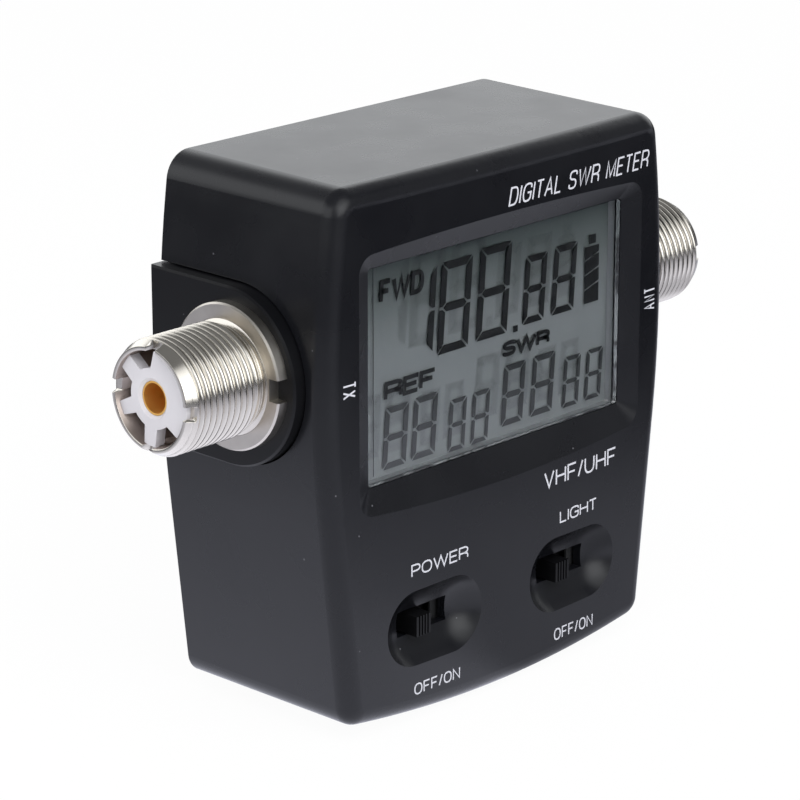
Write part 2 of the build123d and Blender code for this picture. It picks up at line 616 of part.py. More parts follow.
def turned(side, points):
    """Revolve a closed outline of (distance, radius) points about the socket axis."""
    with BuildSketch(profile_plane(side)) as profile:
        with BuildLine():
            Polyline(*points, close=True)
        make_face()
    revolve(profile.sketch, axis=SOCKET_AXIS)


def socket_shell(node, side):
    """Threaded barrel, here as a plain bar at the thread's major radius, with four end notches."""
    ring_end = NECK_RING_X + NECK_RING_W
    with BuildPart() as shell:
        turned(side, ((CHASSIS_HALF, STAR_SHOULDER_R), (CHASSIS_HALF, THREAD_R), (NUT_FACE_X, THREAD_R),
                      (NUT_FACE_X, NECK_R), (NECK_RING_X, NECK_R), (NECK_RING_X, NECK_RING_R),
                      (ring_end, NECK_RING_R), (ring_end, NECK_R), (THREAD_START_X, NECK_R),
                      (THREAD_START_X + THREAD_LEAD, THREAD_R), (THREAD_END_X, THREAD_R),
                      (TIP_X, TIP_R), (TIP_X, BARREL_BORE), (STAR_SHOULDER_X, BARREL_BORE),
                      (STAR_SHOULDER_X, STAR_SHOULDER_R)))
        with BuildSketch(face_plane(side, TIP_X)):
            with PolarLocations((BARREL_BORE + THREAD_R) / 2, 4, start_angle=NOTCH_TURN):
                Rectangle(2 * (THREAD_R - BARREL_BORE), NOTCH_W)
        extrude(amount=-NOTCH_DEEP, mode=Mode.SUBTRACT)
    write(shell, node)


def ring_nut(node, side):
    """Flat ring nut with two spanner notches, front and back."""
    with BuildPart() as nut:
        turned(side, ((PLATE_X, THREAD_R + BARREL_GAP), (PLATE_X, NUT_R), (NUT_FACE_X - NUT_EDGE, NUT_R),
                      (NUT_FACE_X, NUT_R - NUT_EDGE), (NUT_FACE_X, THREAD_R + BARREL_GAP)))
        with BuildSketch(face_plane(side, PLATE_X)):
            with PolarLocations(NUT_R, 2):
                Rectangle(2 * NUT_NOTCH_DEEP, NUT_NOTCH_W)
        extrude(amount=NUT_THICK, mode=Mode.SUBTRACT)
    write(nut, node)


def pocket_outline(middle):
    """Outline of one pocket between two spokes, its middle at an angle in degrees."""
    outer = BARREL_BORE + 1
    foot = middle - STAR_POCKET_FOOT / 2
    start = middle - STAR_POCKET_SPAN / 2
    with BuildSketch() as outline:
        with BuildLine():
            inner_arc = CenterArc((0, 0), STAR_HUB_R, foot, STAR_POCKET_FOOT)
            outer_arc = CenterArc((0, 0), outer, start, STAR_POCKET_SPAN)
            Line(inner_arc @ 0, outer_arc @ 0)
            Line(inner_arc @ 1, outer_arc @ 1)
        make_face()
    return outline.sketch


def insulator(node, side):
    """Moulded star: a thin web with pockets between its spokes, on a stem with a flange at its foot."""
    face_x = TIP_X - STAR_SUNK
    web_x = face_x - STAR_THICK
    base_x = STAR_SHOULDER_X + STAR_BASE_THICK
    with BuildPart() as star:
        turned(side, ((STAR_SHOULDER_X, CONTACT_R + STAR_GAP), (STAR_SHOULDER_X, BARREL_BORE - STAR_GAP),
                      (base_x, BARREL_BORE - STAR_GAP), (base_x, STAR_STEM_R), (web_x, STAR_STEM_R),
                      (web_x, BARREL_BORE - STAR_GAP), (face_x, BARREL_BORE - STAR_GAP),
                      (face_x, STAR_CONE_R), (face_x - STAR_CONE_DEEP, CONTACT_R + STAR_GAP)))
        for middle in STAR_POCKETS:
            with BuildSketch(face_plane(side, face_x)):
                add(pocket_outline(middle))
            extrude(amount=-STAR_THICK, mode=Mode.SUBTRACT)
    write(star, node)


def contact(node, side):
    """Tubular centre contact: a bore for the plug's pin outside, a solder cup inside."""
    mouth = TIP_X - CONTACT_SUNK
    collar = STAR_SHOULDER_X - CONTACT_COLLAR_THICK
    cup = CONTACT_TAIL_X + CUP_DEEP
    bore_end = mouth - CONTACT_BORE_DEEP
    with BuildPart() as tube:
        turned(side, ((CONTACT_TAIL_X, LINE_R + LINE_GAP), (CONTACT_TAIL_X, CONTACT_TAIL_R),
                      (collar, CONTACT_TAIL_R), (collar, CONTACT_COLLAR_R),
                      (STAR_SHOULDER_X, CONTACT_COLLAR_R), (STAR_SHOULDER_X, CONTACT_R),
                      (mouth, CONTACT_R), (mouth, CONTACT_BORE), (bore_end, CONTACT_BORE),
                      (bore_end - CONTACT_BORE / 2, 0), (cup, 0), (cup, LINE_R + LINE_GAP)))
    write(tube, node)


for name, side in (("tx", -1), ("ant", 1)):
    socket_shell(f"{name}_socket_shell", side)
    ring_nut(f"{name}_ring_nut", side)
    insulator(f"{name}_insulator", side)
    contact(f"{name}_contact", side)

# ---- line and current transformer ------------------------------------------------
LINE_HALF = CONTACT_TAIL_X + CUP_DEEP
with BuildPart() as coupler_line:
    with Locations((0, SOCKET_Y, SOCKET_Z)):
        Cylinder(LINE_R, 2 * LINE_HALF, rotation=(0, 90, 0))
write(coupler_line, "coupler_line")

with BuildPart() as line_sleeve:
    with Locations((CORE_X, SOCKET_Y, SOCKET_Z)):
        Cylinder(SLEEVE_R, SLEEVE_L, rotation=(0, 90, 0))
        Cylinder(LINE_R + LINE_GAP, SLEEVE_L, rotation=(0, 90, 0), mode=Mode.SUBTRACT)
write(line_sleeve, "line_sleeve")

with BuildPart() as transformer_core:
    with Locations((CORE_X, SOCKET_Y, SOCKET_Z)):
        Cylinder(CORE_R, CORE_L, rotation=(0, 90, 0))
        Cylinder(CORE_HOLE_R, CORE_L, rotation=(0, 90, 0), mode=Mode.SUBTRACT)
write(transformer_core, "transformer_core")

with BuildPart() as transformer_winding:
    for turn in range(TURNS):
        across = Plane(origin=(CORE_X, SOCKET_Y, SOCKET_Z), x_dir=(1, 0, 0), z_dir=(0, -1, 0))
        with BuildSketch(across.rotated((360 * turn / TURNS, 0, 0))):
            with Locations((0, (CORE_R + CORE_HOLE_R) / 2)):
                loop = (CORE_L + 2 * WIRE_GAP, CORE_R - CORE_HOLE_R + 2 * WIRE_GAP)
                Rectangle(loop[0] + 2 * WIRE, loop[1] + 2 * WIRE)
                Rectangle(loop[0], loop[1], mode=Mode.SUBTRACT)
        extrude(amount=WIRE / 2, both=True)
write(transformer_winding, "transformer_winding")

# ---- detector board --------------------------------------------------------------
with BuildPart() as detector_board:
    board_z = (room_z[0] + DETECTOR_MARGIN, room_z[1] - DETECTOR_MARGIN)
    block((-DETECTOR_HALF_W, DETECTOR_HALF_W), (DETECTOR_Y, DETECTOR_Y + DETECTOR_THICK), board_z)
    rod(POSTS, SMALL_SCREW_R + HOLE_GAP, (DETECTOR_Y, DETECTOR_Y + DETECTOR_THICK), Mode.SUBTRACT)
write(detector_board, "detector_board")
small_screws("detector_screws", POSTS, DETECTOR_Y + DETECTOR_THICK)

with BuildPart() as detector_parts:
    parts_y = DETECTOR_Y + DETECTOR_THICK + DETECTOR_PART_THICK / 2
    for x, z, w, h in DETECTOR_PARTS:
        with Locations((x, parts_y, SOCKET_Z + z)):
            Box(w, DETECTOR_PART_THICK, h)
write(detector_parts, "detector_parts")

with BuildPart() as signal_header:
    block((-HEADER_W / 2, HEADER_W / 2), (BOARD_BACK, DETECTOR_Y),
          (header_z - HEADER_H / 2, header_z + HEADER_H / 2))
write(signal_header, "signal_header")


# ---- rear cover and battery bay --------------------------------------------------
RIGHT_PLATE = (BAY_HALF - PLATE_METAL, BAY_HALF)
LEG_PLACES = (LOWER_CELL_Z + MINUS_LEG_Z, UPPER_CELL_Z + PLUS_LEG_Z)


def finger_slots():
    """Two cuts that free the latch finger at the top of the door."""
    for side in (-1, 1):
        x = side * FINGER_W / 2
        block((x - FINGER_SLOT / 2, x + FINGER_SLOT / 2), (DOOR_INNER, BACK),
              (DOOR_TOP - FINGER_L, DOOR_TOP), Mode.SUBTRACT)


with BuildPart() as rear_cover:
    with BuildSketch(facing_front(BACK)):
        add(case_outline(WALL + COVER_GAP))
    extrude(amount=COVER_THICK, taper=DRAFT)
    outer = BAY_HALF + BAY_WALL
    block((-outer, outer), (BAY_FLOOR - BAY_WALL, COVER_INNER + HOLE_GAP),
          (BAY_BASE - BAY_WALL, BAY_TOP + BAY_WALL))
    block((-BAY_HALF, BAY_HALF), (BAY_FLOOR, COVER_INNER), (BAY_BASE, BAY_TOP), Mode.SUBTRACT)
    block((-BAY_HALF, BAY_HALF), (COVER_INNER, BACK), (DOORWAY_BASE, BAY_TOP), Mode.SUBTRACT)
    ledge = BAY_HALF + DOOR_LEDGE
    block((-ledge, ledge), (DOOR_INNER, BACK), (DOORWAY_BASE, BAY_TOP + DOOR_LEDGE), Mode.SUBTRACT)
    for leg_z in LEG_PLACES:
        block((RIGHT_PLATE[0] - LEG_GAP, BAY_HALF), (BAY_FLOOR - BAY_WALL, BAY_FLOOR),
              (leg_z - LEG_W / 2 - LEG_GAP, leg_z + LEG_W / 2 + LEG_GAP), Mode.SUBTRACT)
    with Locations(*[Location((x, BACK, z), (-90, 0, 0)) for x, z in CASE_BOSSES]):
        CounterSinkHole(CASE_SCREW_R + HOLE_GAP, CASE_HEAD_R, depth=2 * COVER_THICK, counter_sink_angle=90)
write(rear_cover, "rear_cover")

with BuildPart() as battery_door:
    block((-DOOR_HALF, DOOR_HALF), (DOOR_INNER, BACK), (DOOR_BASE, DOOR_TOP))
    finger_slots()
    grips = [DOOR_TOP - FINGER_L / 2 + (i - (GRIPS - 1) / 2) * GRIP_PITCH for i in range(GRIPS)]
    for grip_z in grips:
        block((-FINGER_W / 2 + FINGER_SLOT, FINGER_W / 2 - FINGER_SLOT), (BACK - GRIP_DEEP, BACK),
              (grip_z - GRIP_W / 2, grip_z + GRIP_W / 2), Mode.SUBTRACT)
    tab_y = (COVER_INNER - TAB_DOWN - TAB_THICK, COVER_INNER - TAB_DOWN)
    for x in (-TAB_X, TAB_X):
        tab_x = (x - TAB_W / 2, x + TAB_W / 2)
        block(tab_x, tab_y, (DOOR_BASE - TAB_REACH, DOOR_BASE + TAB_THICK))
        block(tab_x, (tab_y[0], DOOR_INNER), (DOOR_BASE, DOOR_BASE + TAB_THICK))
write(battery_door, "battery_door")


def cell(node, z, nub_side):
    """One cell lying along X, with its nub towards nub_side."""
    nub_tip = nub_side * (BAY_HALF - PLATE_METAL - BUTTON_L)
    shoulder = nub_tip - nub_side * NUB_L
    can_mid = shoulder - nub_side * CELL_BODY / 2
    with BuildPart() as body:
        with Locations((can_mid, CELL_Y, z)):
            Cylinder(CELL_R, CELL_BODY, rotation=(0, 90, 0))
        fillet(body.edges().filter_by(GeomType.CIRCLE), CELL_R / 10)
        with Locations((nub_tip - nub_side * NUB_L / 2, CELL_Y, z)):
            Cylinder(NUB_R, NUB_L, rotation=(0, 90, 0))
    write(body, node)


def end_plate(side, z):
    """Flat contact plate against the bay's end wall."""
    x = (BAY_HALF - PLATE_METAL, BAY_HALF) if side > 0 else (-BAY_HALF, PLATE_METAL - BAY_HALF)
    block(x, (CELL_Y - CELL_R + CELL_GAP, CELL_Y + CELL_R / 2), (z - END_PLATE_H / 2, z + END_PLATE_H / 2))


def button(side, z):
    """Round boss that meets a cell's nub."""
    with Locations((side * (BAY_HALF - PLATE_METAL - BUTTON_L / 2), CELL_Y, z)):
        Cylinder(BUTTON_R, BUTTON_L, rotation=(0, 90, 0))


def leaf(side, z):
    """Bent leaf that presses on a cell's flat end."""
    plate = BAY_HALF - PLATE_METAL
    reach = BAY_END_ROOM - PLATE_METAL - BUTTON_L - PLATE_METAL
    low = CELL_Y - CELL_R / 2
    high = CELL_Y + CELL_R / 2
    with BuildSketch(Plane.XY.offset(z)) as bend:
        with BuildLine():
            Polyline((side * plate, low), (side * (plate - reach), CELL_Y), (side * plate, high),
                     (side * plate, high - 2 * PLATE_METAL), (side * (plate - reach + PLATE_METAL), CELL_Y),
                     (side * plate, low + 2 * PLATE_METAL), close=True)
        make_face()
    extrude(bend.sketch, amount=END_PLATE_H / 4, both=True)


def leg(z):
    """Strip from a right-hand end plate forwards to the main board."""
    block(RIGHT_PLATE, (BOARD_BACK, CELL_Y), (z - LEG_W / 2, z + LEG_W / 2))


cell("lower_cell", LOWER_CELL_Z, -1)
cell("upper_cell", UPPER_CELL_Z, 1)

with BuildPart() as cell_link:
    end_plate(-1, LOWER_CELL_Z)
    end_plate(-1, UPPER_CELL_Z)
    end_plate(-1, (LOWER_CELL_Z + UPPER_CELL_Z) / 2)
    button(-1, LOWER_CELL_Z)
    leaf(-1, UPPER_CELL_Z)
write(cell_link, "cell_link")

with BuildPart() as minus_spring:
    end_plate(1, LOWER_CELL_Z)
    leaf(1, LOWER_CELL_Z)
    leg(LEG_PLACES[0])
write(minus_spring, "minus_spring")

with BuildPart() as plus_plate:
    end_plate(1, UPPER_CELL_Z)
    button(1, UPPER_CELL_Z)
    leg(LEG_PLACES[1])
write(plus_plate, "plus_plate")

# ---- case screws -----------------------------------------------------------------
with BuildPart() as case_screws:
    rod(CASE_BOSSES, CASE_SCREW_R, (COVER_INNER + COVER_THICK / 2 - CASE_SCREW_LENGTH, BACK - DRIVER_DEEP))
    cone = CASE_HEAD_R - CASE_SCREW_R
    with BuildSketch(facing_front(BACK)):
        with Locations(*CASE_BOSSES):
            Circle(CASE_HEAD_R)
    extrude(amount=cone, taper=45)
    driver_recess(CASE_BOSSES, BACK)
write(case_screws, "case_screws")
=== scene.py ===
import math

import bpy
import numpy as np
from mathutils import Matrix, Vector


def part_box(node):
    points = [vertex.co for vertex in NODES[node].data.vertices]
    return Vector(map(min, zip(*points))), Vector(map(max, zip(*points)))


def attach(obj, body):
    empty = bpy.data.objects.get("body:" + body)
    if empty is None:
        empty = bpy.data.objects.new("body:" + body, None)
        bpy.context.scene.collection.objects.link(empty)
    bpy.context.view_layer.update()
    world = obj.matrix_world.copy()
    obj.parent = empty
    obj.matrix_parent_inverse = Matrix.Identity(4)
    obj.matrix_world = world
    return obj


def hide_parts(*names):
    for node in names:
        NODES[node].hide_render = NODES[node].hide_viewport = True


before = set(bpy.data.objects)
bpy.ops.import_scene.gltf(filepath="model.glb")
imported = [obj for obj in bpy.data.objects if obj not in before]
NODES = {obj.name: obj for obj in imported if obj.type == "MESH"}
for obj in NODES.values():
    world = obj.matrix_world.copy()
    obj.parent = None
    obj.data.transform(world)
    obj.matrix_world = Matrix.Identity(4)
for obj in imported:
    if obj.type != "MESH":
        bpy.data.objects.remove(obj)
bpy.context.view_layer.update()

# Looks of the pocket SWR meter.  Lengths are metres in the frame's own axes: X from the transmitter
# socket to the aerial socket, Y from the front to the back, Z up.
MM = 0.001

# ---- places read from the frame --------------------------------------------------
panel_low, panel_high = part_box("lcd_panel")
barrel_low, barrel_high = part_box("tx_socket_shell")
AXIS_Y = (barrel_low.y + barrel_high.y) / 2
AXIS_Z = (barrel_low.z + barrel_high.z) / 2
FACE_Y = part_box("front_case")[0].y
FACE_ROUND = 730 * MM                    # the face bows from side to side on this radius
NUT_FACE = -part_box("tx_ring_nut")[0].x
HAIR = 0.02 * MM                         # a lift or a gap that is too small to see

# ---- threaded barrel -------------------------------------------------------------
THREAD_PITCH = 25.4 * MM / 24
THREAD_R = (barrel_high.z - barrel_low.z) / 2
THREAD_DEEP = 0.43 * THREAD_PITCH
THREAD_END = 50.03 * MM                  # the thread's ends, as distances from the middle of the case
THREAD_START = THREAD_END - 10.63 * MM
THREAD_LEAD = 0.5 * MM                   # over which it rises from the neck
ROWS_A_TURN = 20
TURNS_DRAWN = 12
STEPS_AROUND = 176
BARREL_TIP = -barrel_low.x
BARREL_ROOT = -barrel_high.x
TIP_R = 7.09 * MM
NECK_R = 7.1 * MM
NECK_RING_R = 7.5 * MM
NECK_RING = (0.65 * MM, 0.45 * MM)       # how far its two sides stand behind the thread
BARREL_BORE = 6.55 * MM
SHOULDER_X = 34.0 * MM
SHOULDER_R = 5.6 * MM
NOTCH_W = 2.0 * MM
NOTCH_DEEP = 1.3 * MM
NOTCH_TURN = math.radians(-4)

# ---- display ---------------------------------------------------------------------
SEGMENT_Y = panel_low.y - 0.3 * MM       # the segments stand this far in front of the reflector
SEGMENT_THICK = 0.04 * MM
SEGMENT_GAP = 0.22                       # between two segments, in millimetres as the digits are
DIGIT_LEAN = math.radians(4.5)
SHADE_SHIFT = np.array([-5.2, 2.2]) * MM
SHADE_SPREAD = 0.7 * MM
SHADE_PULL = 0.001
SHADE_DARKEST = 0.16

# ---- pad printing ----------------------------------------------------------------
PRINT_THICK = 0.03 * MM
PRINT_STROKE = 0.26 * MM


# ---- node helpers ----------------------------------------------------------------
def node(tree, kind, inputs=None, **settings):
    """Add a node; inputs holds plain values, or the output sockets that feed it."""
    made = tree.nodes.new(kind)
    for name, value in settings.items():
        setattr(made, name, value)
    for name, value in (inputs or {}).items():
        if isinstance(value, bpy.types.NodeSocket):
            tree.links.new(value, made.inputs[name])
        else:
            made.inputs[name].default_value = value
    return made


def effect(name, numbers, outputs):
    """A shader node group with numbers as inputs (their usual values given) and named float outputs."""
    group = bpy.data.node_groups.new(name, "ShaderNodeTree")
    for label, value in numbers.items():
        socket = group.interface.new_socket(name=label, in_out="INPUT", socket_type="NodeSocketFloat")
        socket.default_value = value
    for label in outputs:
        group.interface.new_socket(name=label, in_out="OUTPUT", socket_type="NodeSocketFloat")
    start = group.nodes.new("NodeGroupInput")
    end = group.nodes.new("NodeGroupOutput")
    return group, start, end


def place(tree, group, **numbers):
    """An effect placed in a material with its own numbers; underscores stand for spaces."""
    made = tree.nodes.new("ShaderNodeGroup")
    made.node_tree = group
    for name, value in numbers.items():
        made.inputs[name.replace("_", " ")].default_value = value
    return made


def finish_for(name, **plain):
    """A new material, its node tree and its shader, with plain values on the shader's own sockets."""
    material = bpy.data.materials.new(name)
    material.use_nodes = True
    tree = material.node_tree
    shader = tree.nodes["Principled BSDF"]
    for label, value in plain.items():
        shader.inputs[label.replace("_", " ")].default_value = value
    return material, tree, shader


def between(tree, mask, low, high):
    """A number that goes from low to high as the mask goes from 0 to 1."""
    return node(tree, "ShaderNodeMapRange", {0: mask, 3: low, 4: high}).outputs[0]


def smooth_step(tree, value, edges, low=0.0, high=1.0):
    """A number that eases from low to high as the value goes from one edge to the other."""
    return node(tree, "ShaderNodeMapRange", {0: value, 1: edges[0], 2: edges[1], 3: low, 4: high},
                interpolation_type="SMOOTHSTEP").outputs[0]


def tinted(tree, mask, low, high):
    """A colour that goes from low to high as the mask goes from 0 to 1."""
    made = node(tree, "ShaderNodeMix", {0: mask}, data_type="RGBA")
    made.inputs[6].default_value = (*low, 1)
    made.inputs[7].default_value = (*high, 1)
    return made.outputs[2]


def dress(tree, shader, colour, roughness, height, depth):
    """Feed colour, roughness and bump into a shader; depth is the bump's, in metres."""
    tree.links.new(colour, shader.inputs["Base Color"])
    tree.links.new(roughness, shader.inputs["Roughness"])
    bump = node(tree, "ShaderNodeBump", {"Height": height, "Distance": depth, "Strength": 1.0})
    tree.links.new(bump.outputs[0], shader.inputs["Normal"])


def object_place(tree):
    """Where a point of the surface is, in the frame's own axes."""
    return node(tree, "ShaderNodeTexCoord").outputs["Object"]


# ---- effects that several finishes share -----------------------------------------
def make_moulded_grain():
    """Spark-eroded mould texture: fine pits for the bump, and a slow drift for colour and gloss."""
    group, start, end = effect("moulded_grain", {"Pits Per Metre": 4000.0, "Drift Per Metre": 90.0},
                               ("Height", "Drift"))
    here = object_place(group)
    pits = node(group, "ShaderNodeTexNoise", {"Vector": here, "Scale": start.outputs[0], "Detail": 3.0,
                                              "Roughness": 0.6})
    drift = node(group, "ShaderNodeTexNoise", {"Vector": here, "Scale": start.outputs[1], "Detail": 4.0})
    group.links.new(pits.outputs[0], end.inputs["Height"])
    group.links.new(between(group, drift.outputs[0], -0.6, 1.6), end.inputs["Drift"])
    return group


def make_dust():
    """A few pale specks: the middles of scattered cells, where a second noise lets them lie."""
    group, start, end = effect("dust", {"Cells Per Metre": 420.0, "Speck Size": 0.055,
                                        "Patches Per Metre": 160.0, "Clean Share": 0.6}, ("Mask",))
    here = object_place(group)
    cells = node(group, "ShaderNodeTexVoronoi", {"Vector": here, "Scale": start.outputs[0]})
    near = node(group, "ShaderNodeMath", {0: cells.outputs["Distance"], 1: start.outputs[1]},
                operation="LESS_THAN")
    patches = node(group, "ShaderNodeTexNoise", {"Vector": here, "Scale": start.outputs[2], "Detail": 2.0})
    lie = node(group, "ShaderNodeMath", {0: patches.outputs[0], 1: start.outputs[3]},
               operation="GREATER_THAN")
    both = node(group, "ShaderNodeMath", {0: near.outputs[0], 1: lie.outputs[0]}, operation="MULTIPLY")
    group.links.new(both.outputs[0], end.inputs["Mask"])
    return group


def make_tool_marks():
    """Lathe marks about the socket axis: rings that follow the distance from the axis and along it."""
    group, start, end = effect("tool_marks", {"Rings Per Metre": 9000.0}, ("Height", "Tone"))
    spread = node(group, "ShaderNodeSeparateXYZ", {0: object_place(group)})
    y = node(group, "ShaderNodeMath", {0: spread.outputs[1], 1: AXIS_Y}, operation="SUBTRACT")
    z = node(group, "ShaderNodeMath", {0: spread.outputs[2], 1: AXIS_Z}, operation="SUBTRACT")
    out = node(group, "ShaderNodeCombineXYZ", {0: y.outputs[0], 1: z.outputs[0]})
    radius = node(group, "ShaderNodeVectorMath", {0: out.outputs[0]}, operation="LENGTH")
    ring = node(group, "ShaderNodeMath", {0: radius.outputs["Value"], 1: spread.outputs[0]},
                operation="ADD")
    marks = node(group, "ShaderNodeTexNoise", {"W": ring.outputs[0], "Scale": start.outputs[0],
                                               "Detail": 2.0}, noise_dimensions="1D")
    tone = node(group, "ShaderNodeTexNoise", {"Vector": object_place(group), "Scale": 420.0, "Detail": 4.0})
    group.links.new(marks.outputs[0], end.inputs["Height"])
    group.links.new(tone.outputs[0], end.inputs["Tone"])
    return group


def make_rolled_grain():
    """Rolling marks in sheet metal: noise drawn out along X."""
    group, start, end = effect("rolled_grain", {"Lines Per Metre": 6000.0}, ("Height",))
    stretched = node(group, "ShaderNodeMapping", {0: object_place(group), "Scale": (0.03, 1.0, 1.0)})
    lines = node(group, "ShaderNodeTexNoise", {"Vector": stretched.outputs[0], "Scale": start.outputs[0],
                                               "Detail": 2.0})
    group.links.new(lines.outputs[0], end.inputs["Height"])
    return group


GRAIN = make_moulded_grain()
DUST = make_dust()
TOOL_MARKS = make_tool_marks()
ROLLED = make_rolled_grain()


# ---- finishes --------------------------------------------------------------------
DUST_GREY = (0.09, 0.09, 0.1)
LATHE_DEPTH = 2.5e-6                     # bumps, in metres
ROLLING_DEPTH = 1.5e-6
INK_DEPTH = 3e-6
CELL_BAND_X = 8 * MM                     # the pale band of each cell's film starts here


def moulded(name, dark, light, rough, pits=4000.0, depth=6e-6, dusty=True, **plain):
    """Moulded plastic: colour and gloss drift slowly, fine pits in the skin, a little dust."""
    material, tree, shader = finish_for(name, **plain)
    grain = place(tree, GRAIN, Pits_Per_Metre=pits)
    colour = tinted(tree, grain.outputs["Drift"], dark, light)
    if dusty:
        specks = place(tree, DUST)
        cover = node(tree, "ShaderNodeMix", {0: specks.outputs[0], 6: colour}, data_type="RGBA")
        cover.inputs[7].default_value = (*DUST_GREY, 1)
        colour = cover.outputs[2]
    roughness = between(tree, grain.outputs["Drift"], *rough)
    dress(tree, shader, colour, roughness, grain.outputs["Height"], depth)
    return material


def turned_metal(name, shade, light, rough):
    """Turned and plated metal: lathe marks, and a tone that drifts a little."""
    material, tree, shader = finish_for(name, Metallic=1.0)
    marks = place(tree, TOOL_MARKS)
    colour = tinted(tree, marks.outputs["Tone"], shade, light)
    roughness = between(tree, marks.outputs["Tone"], *rough)
    dress(tree, shader, colour, roughness, marks.outputs["Height"], LATHE_DEPTH)
    return material


def sheet_metal(name, shade, light, rough):
    """Rolled sheet or drawn rod: fine lines along X."""
    material, tree, shader = finish_for(name, Metallic=1.0)
    grain = place(tree, ROLLED)
    colour = tinted(tree, grain.outputs[0], shade, light)
    roughness = between(tree, grain.outputs[0], *rough)
    dress(tree, shader, colour, roughness, grain.outputs[0], ROLLING_DEPTH)
    return material


def window_glass():
    """Clear moulded window: a faint waviness in its skin."""
    material, tree, shader = finish_for("clear_window", Transmission_Weight=1.0, IOR=1.49, Metallic=0.0)
    ripple = node(tree, "ShaderNodeTexNoise", {"Vector": object_place(tree), "Scale": 60.0, "Detail": 1.0})
    haze = node(tree, "ShaderNodeTexNoise", {"Vector": object_place(tree), "Scale": 900.0, "Detail": 3.0})
    colour = tinted(tree, haze.outputs[0], (0.93, 0.95, 0.96), (0.98, 0.99, 1.0))
    dress(tree, shader, colour, between(tree, haze.outputs[0], 0.0, 0.03), ripple.outputs[0], 4e-6)
    return material


def display_with_painted_shade():
    """Reflective display: grey-green with a fine grain, and painted shade that darkens it from the socket
    axis up to its top.
    """
    material, tree, shader = finish_for("display_reflector_painted_shade", Metallic=0.0)
    here = object_place(tree)
    height = node(tree, "ShaderNodeSeparateXYZ", {0: here}).outputs[2]
    rise = smooth_step(tree, height, (AXIS_Z, panel_high.z))
    # Painted shade: the colour darkens from the socket axis to the top of the panel.
    colour = tinted(tree, rise, (0.34, 0.36, 0.36), (0.12, 0.145, 0.14))
    grain = place(tree, GRAIN, Pits_Per_Metre=9000.0, Drift_Per_Metre=40.0)
    dress(tree, shader, colour, between(tree, grain.outputs["Drift"], 0.38, 0.5), grain.outputs["Height"],
          3e-6)
    return material


def solder_mask():
    """Green board: tracks stand up under the mask as square-edged bands."""
    material, tree, shader = finish_for("solder_mask", IOR=1.5)
    here = object_place(tree)
    upright = node(tree, "ShaderNodeMapping", {0: here, "Rotation": (math.pi / 2, 0, 0)})
    tracks = node(tree, "ShaderNodeTexBrick", {"Vector": upright.outputs[0], "Scale": 300.0,
                                               "Mortar Size": 0.08}).outputs["Fac"]
    colour = tinted(tree, tracks, (0.012, 0.085, 0.035), (0.03, 0.16, 0.06))
    dress(tree, shader, colour, between(tree, tracks, 0.3, 0.22), tracks, 2e-5)
    return material


def cell_jacket():
    """Printed film round a cell: dark body, a pale band towards one end, a few scuffs."""
    material, tree, shader = finish_for("cell_jacket", IOR=1.5)
    here = object_place(tree)
    along = node(tree, "ShaderNodeSeparateXYZ", {0: here}).outputs[0]
    band = node(tree, "ShaderNodeMath", {0: along, 1: CELL_BAND_X}, operation="GREATER_THAN").outputs[0]
    base = tinted(tree, band, (0.015, 0.02, 0.035), (0.5, 0.5, 0.48))
    scuff = node(tree, "ShaderNodeTexNoise", {"Vector": here, "Scale": 500.0, "Detail": 5.0})
    dress(tree, shader, base, between(tree, scuff.outputs[0], 0.2, 0.45), scuff.outputs[0], 4e-6)
    return material


def printed(name, dark, light, rough):
    """Printing ink or display ink: a slight unevenness in its tone."""
    material, tree, shader = finish_for(name)
    cover = node(tree, "ShaderNodeTexNoise", {"Vector": object_place(tree), "Scale": 2500.0, "Detail": 3.0})
    colour = tinted(tree, cover.outputs[0], dark, light)
    dress(tree, shader, colour, between(tree, cover.outputs[0], *rough), cover.outputs[0], INK_DEPTH)
    return material


def display_shadow():
    """Soft shade of the segments on the reflector: it thins out with the piece's shade attribute."""
    material, tree, shader = finish_for("display_shadow", Roughness=0.6)
    shade = node(tree, "ShaderNodeAttribute", attribute_name="shade").outputs["Fac"]
    grain = place(tree, GRAIN, Pits_Per_Metre=9000.0)
    colour = tinted(tree, grain.outputs["Drift"], (0.03, 0.04, 0.04), (0.05, 0.06, 0.06))
    tree.links.new(colour, shader.inputs["Base Color"])
    tree.links.new(between(tree, shade, 0.0, SHADE_DARKEST), shader.inputs["Alpha"])
    return material


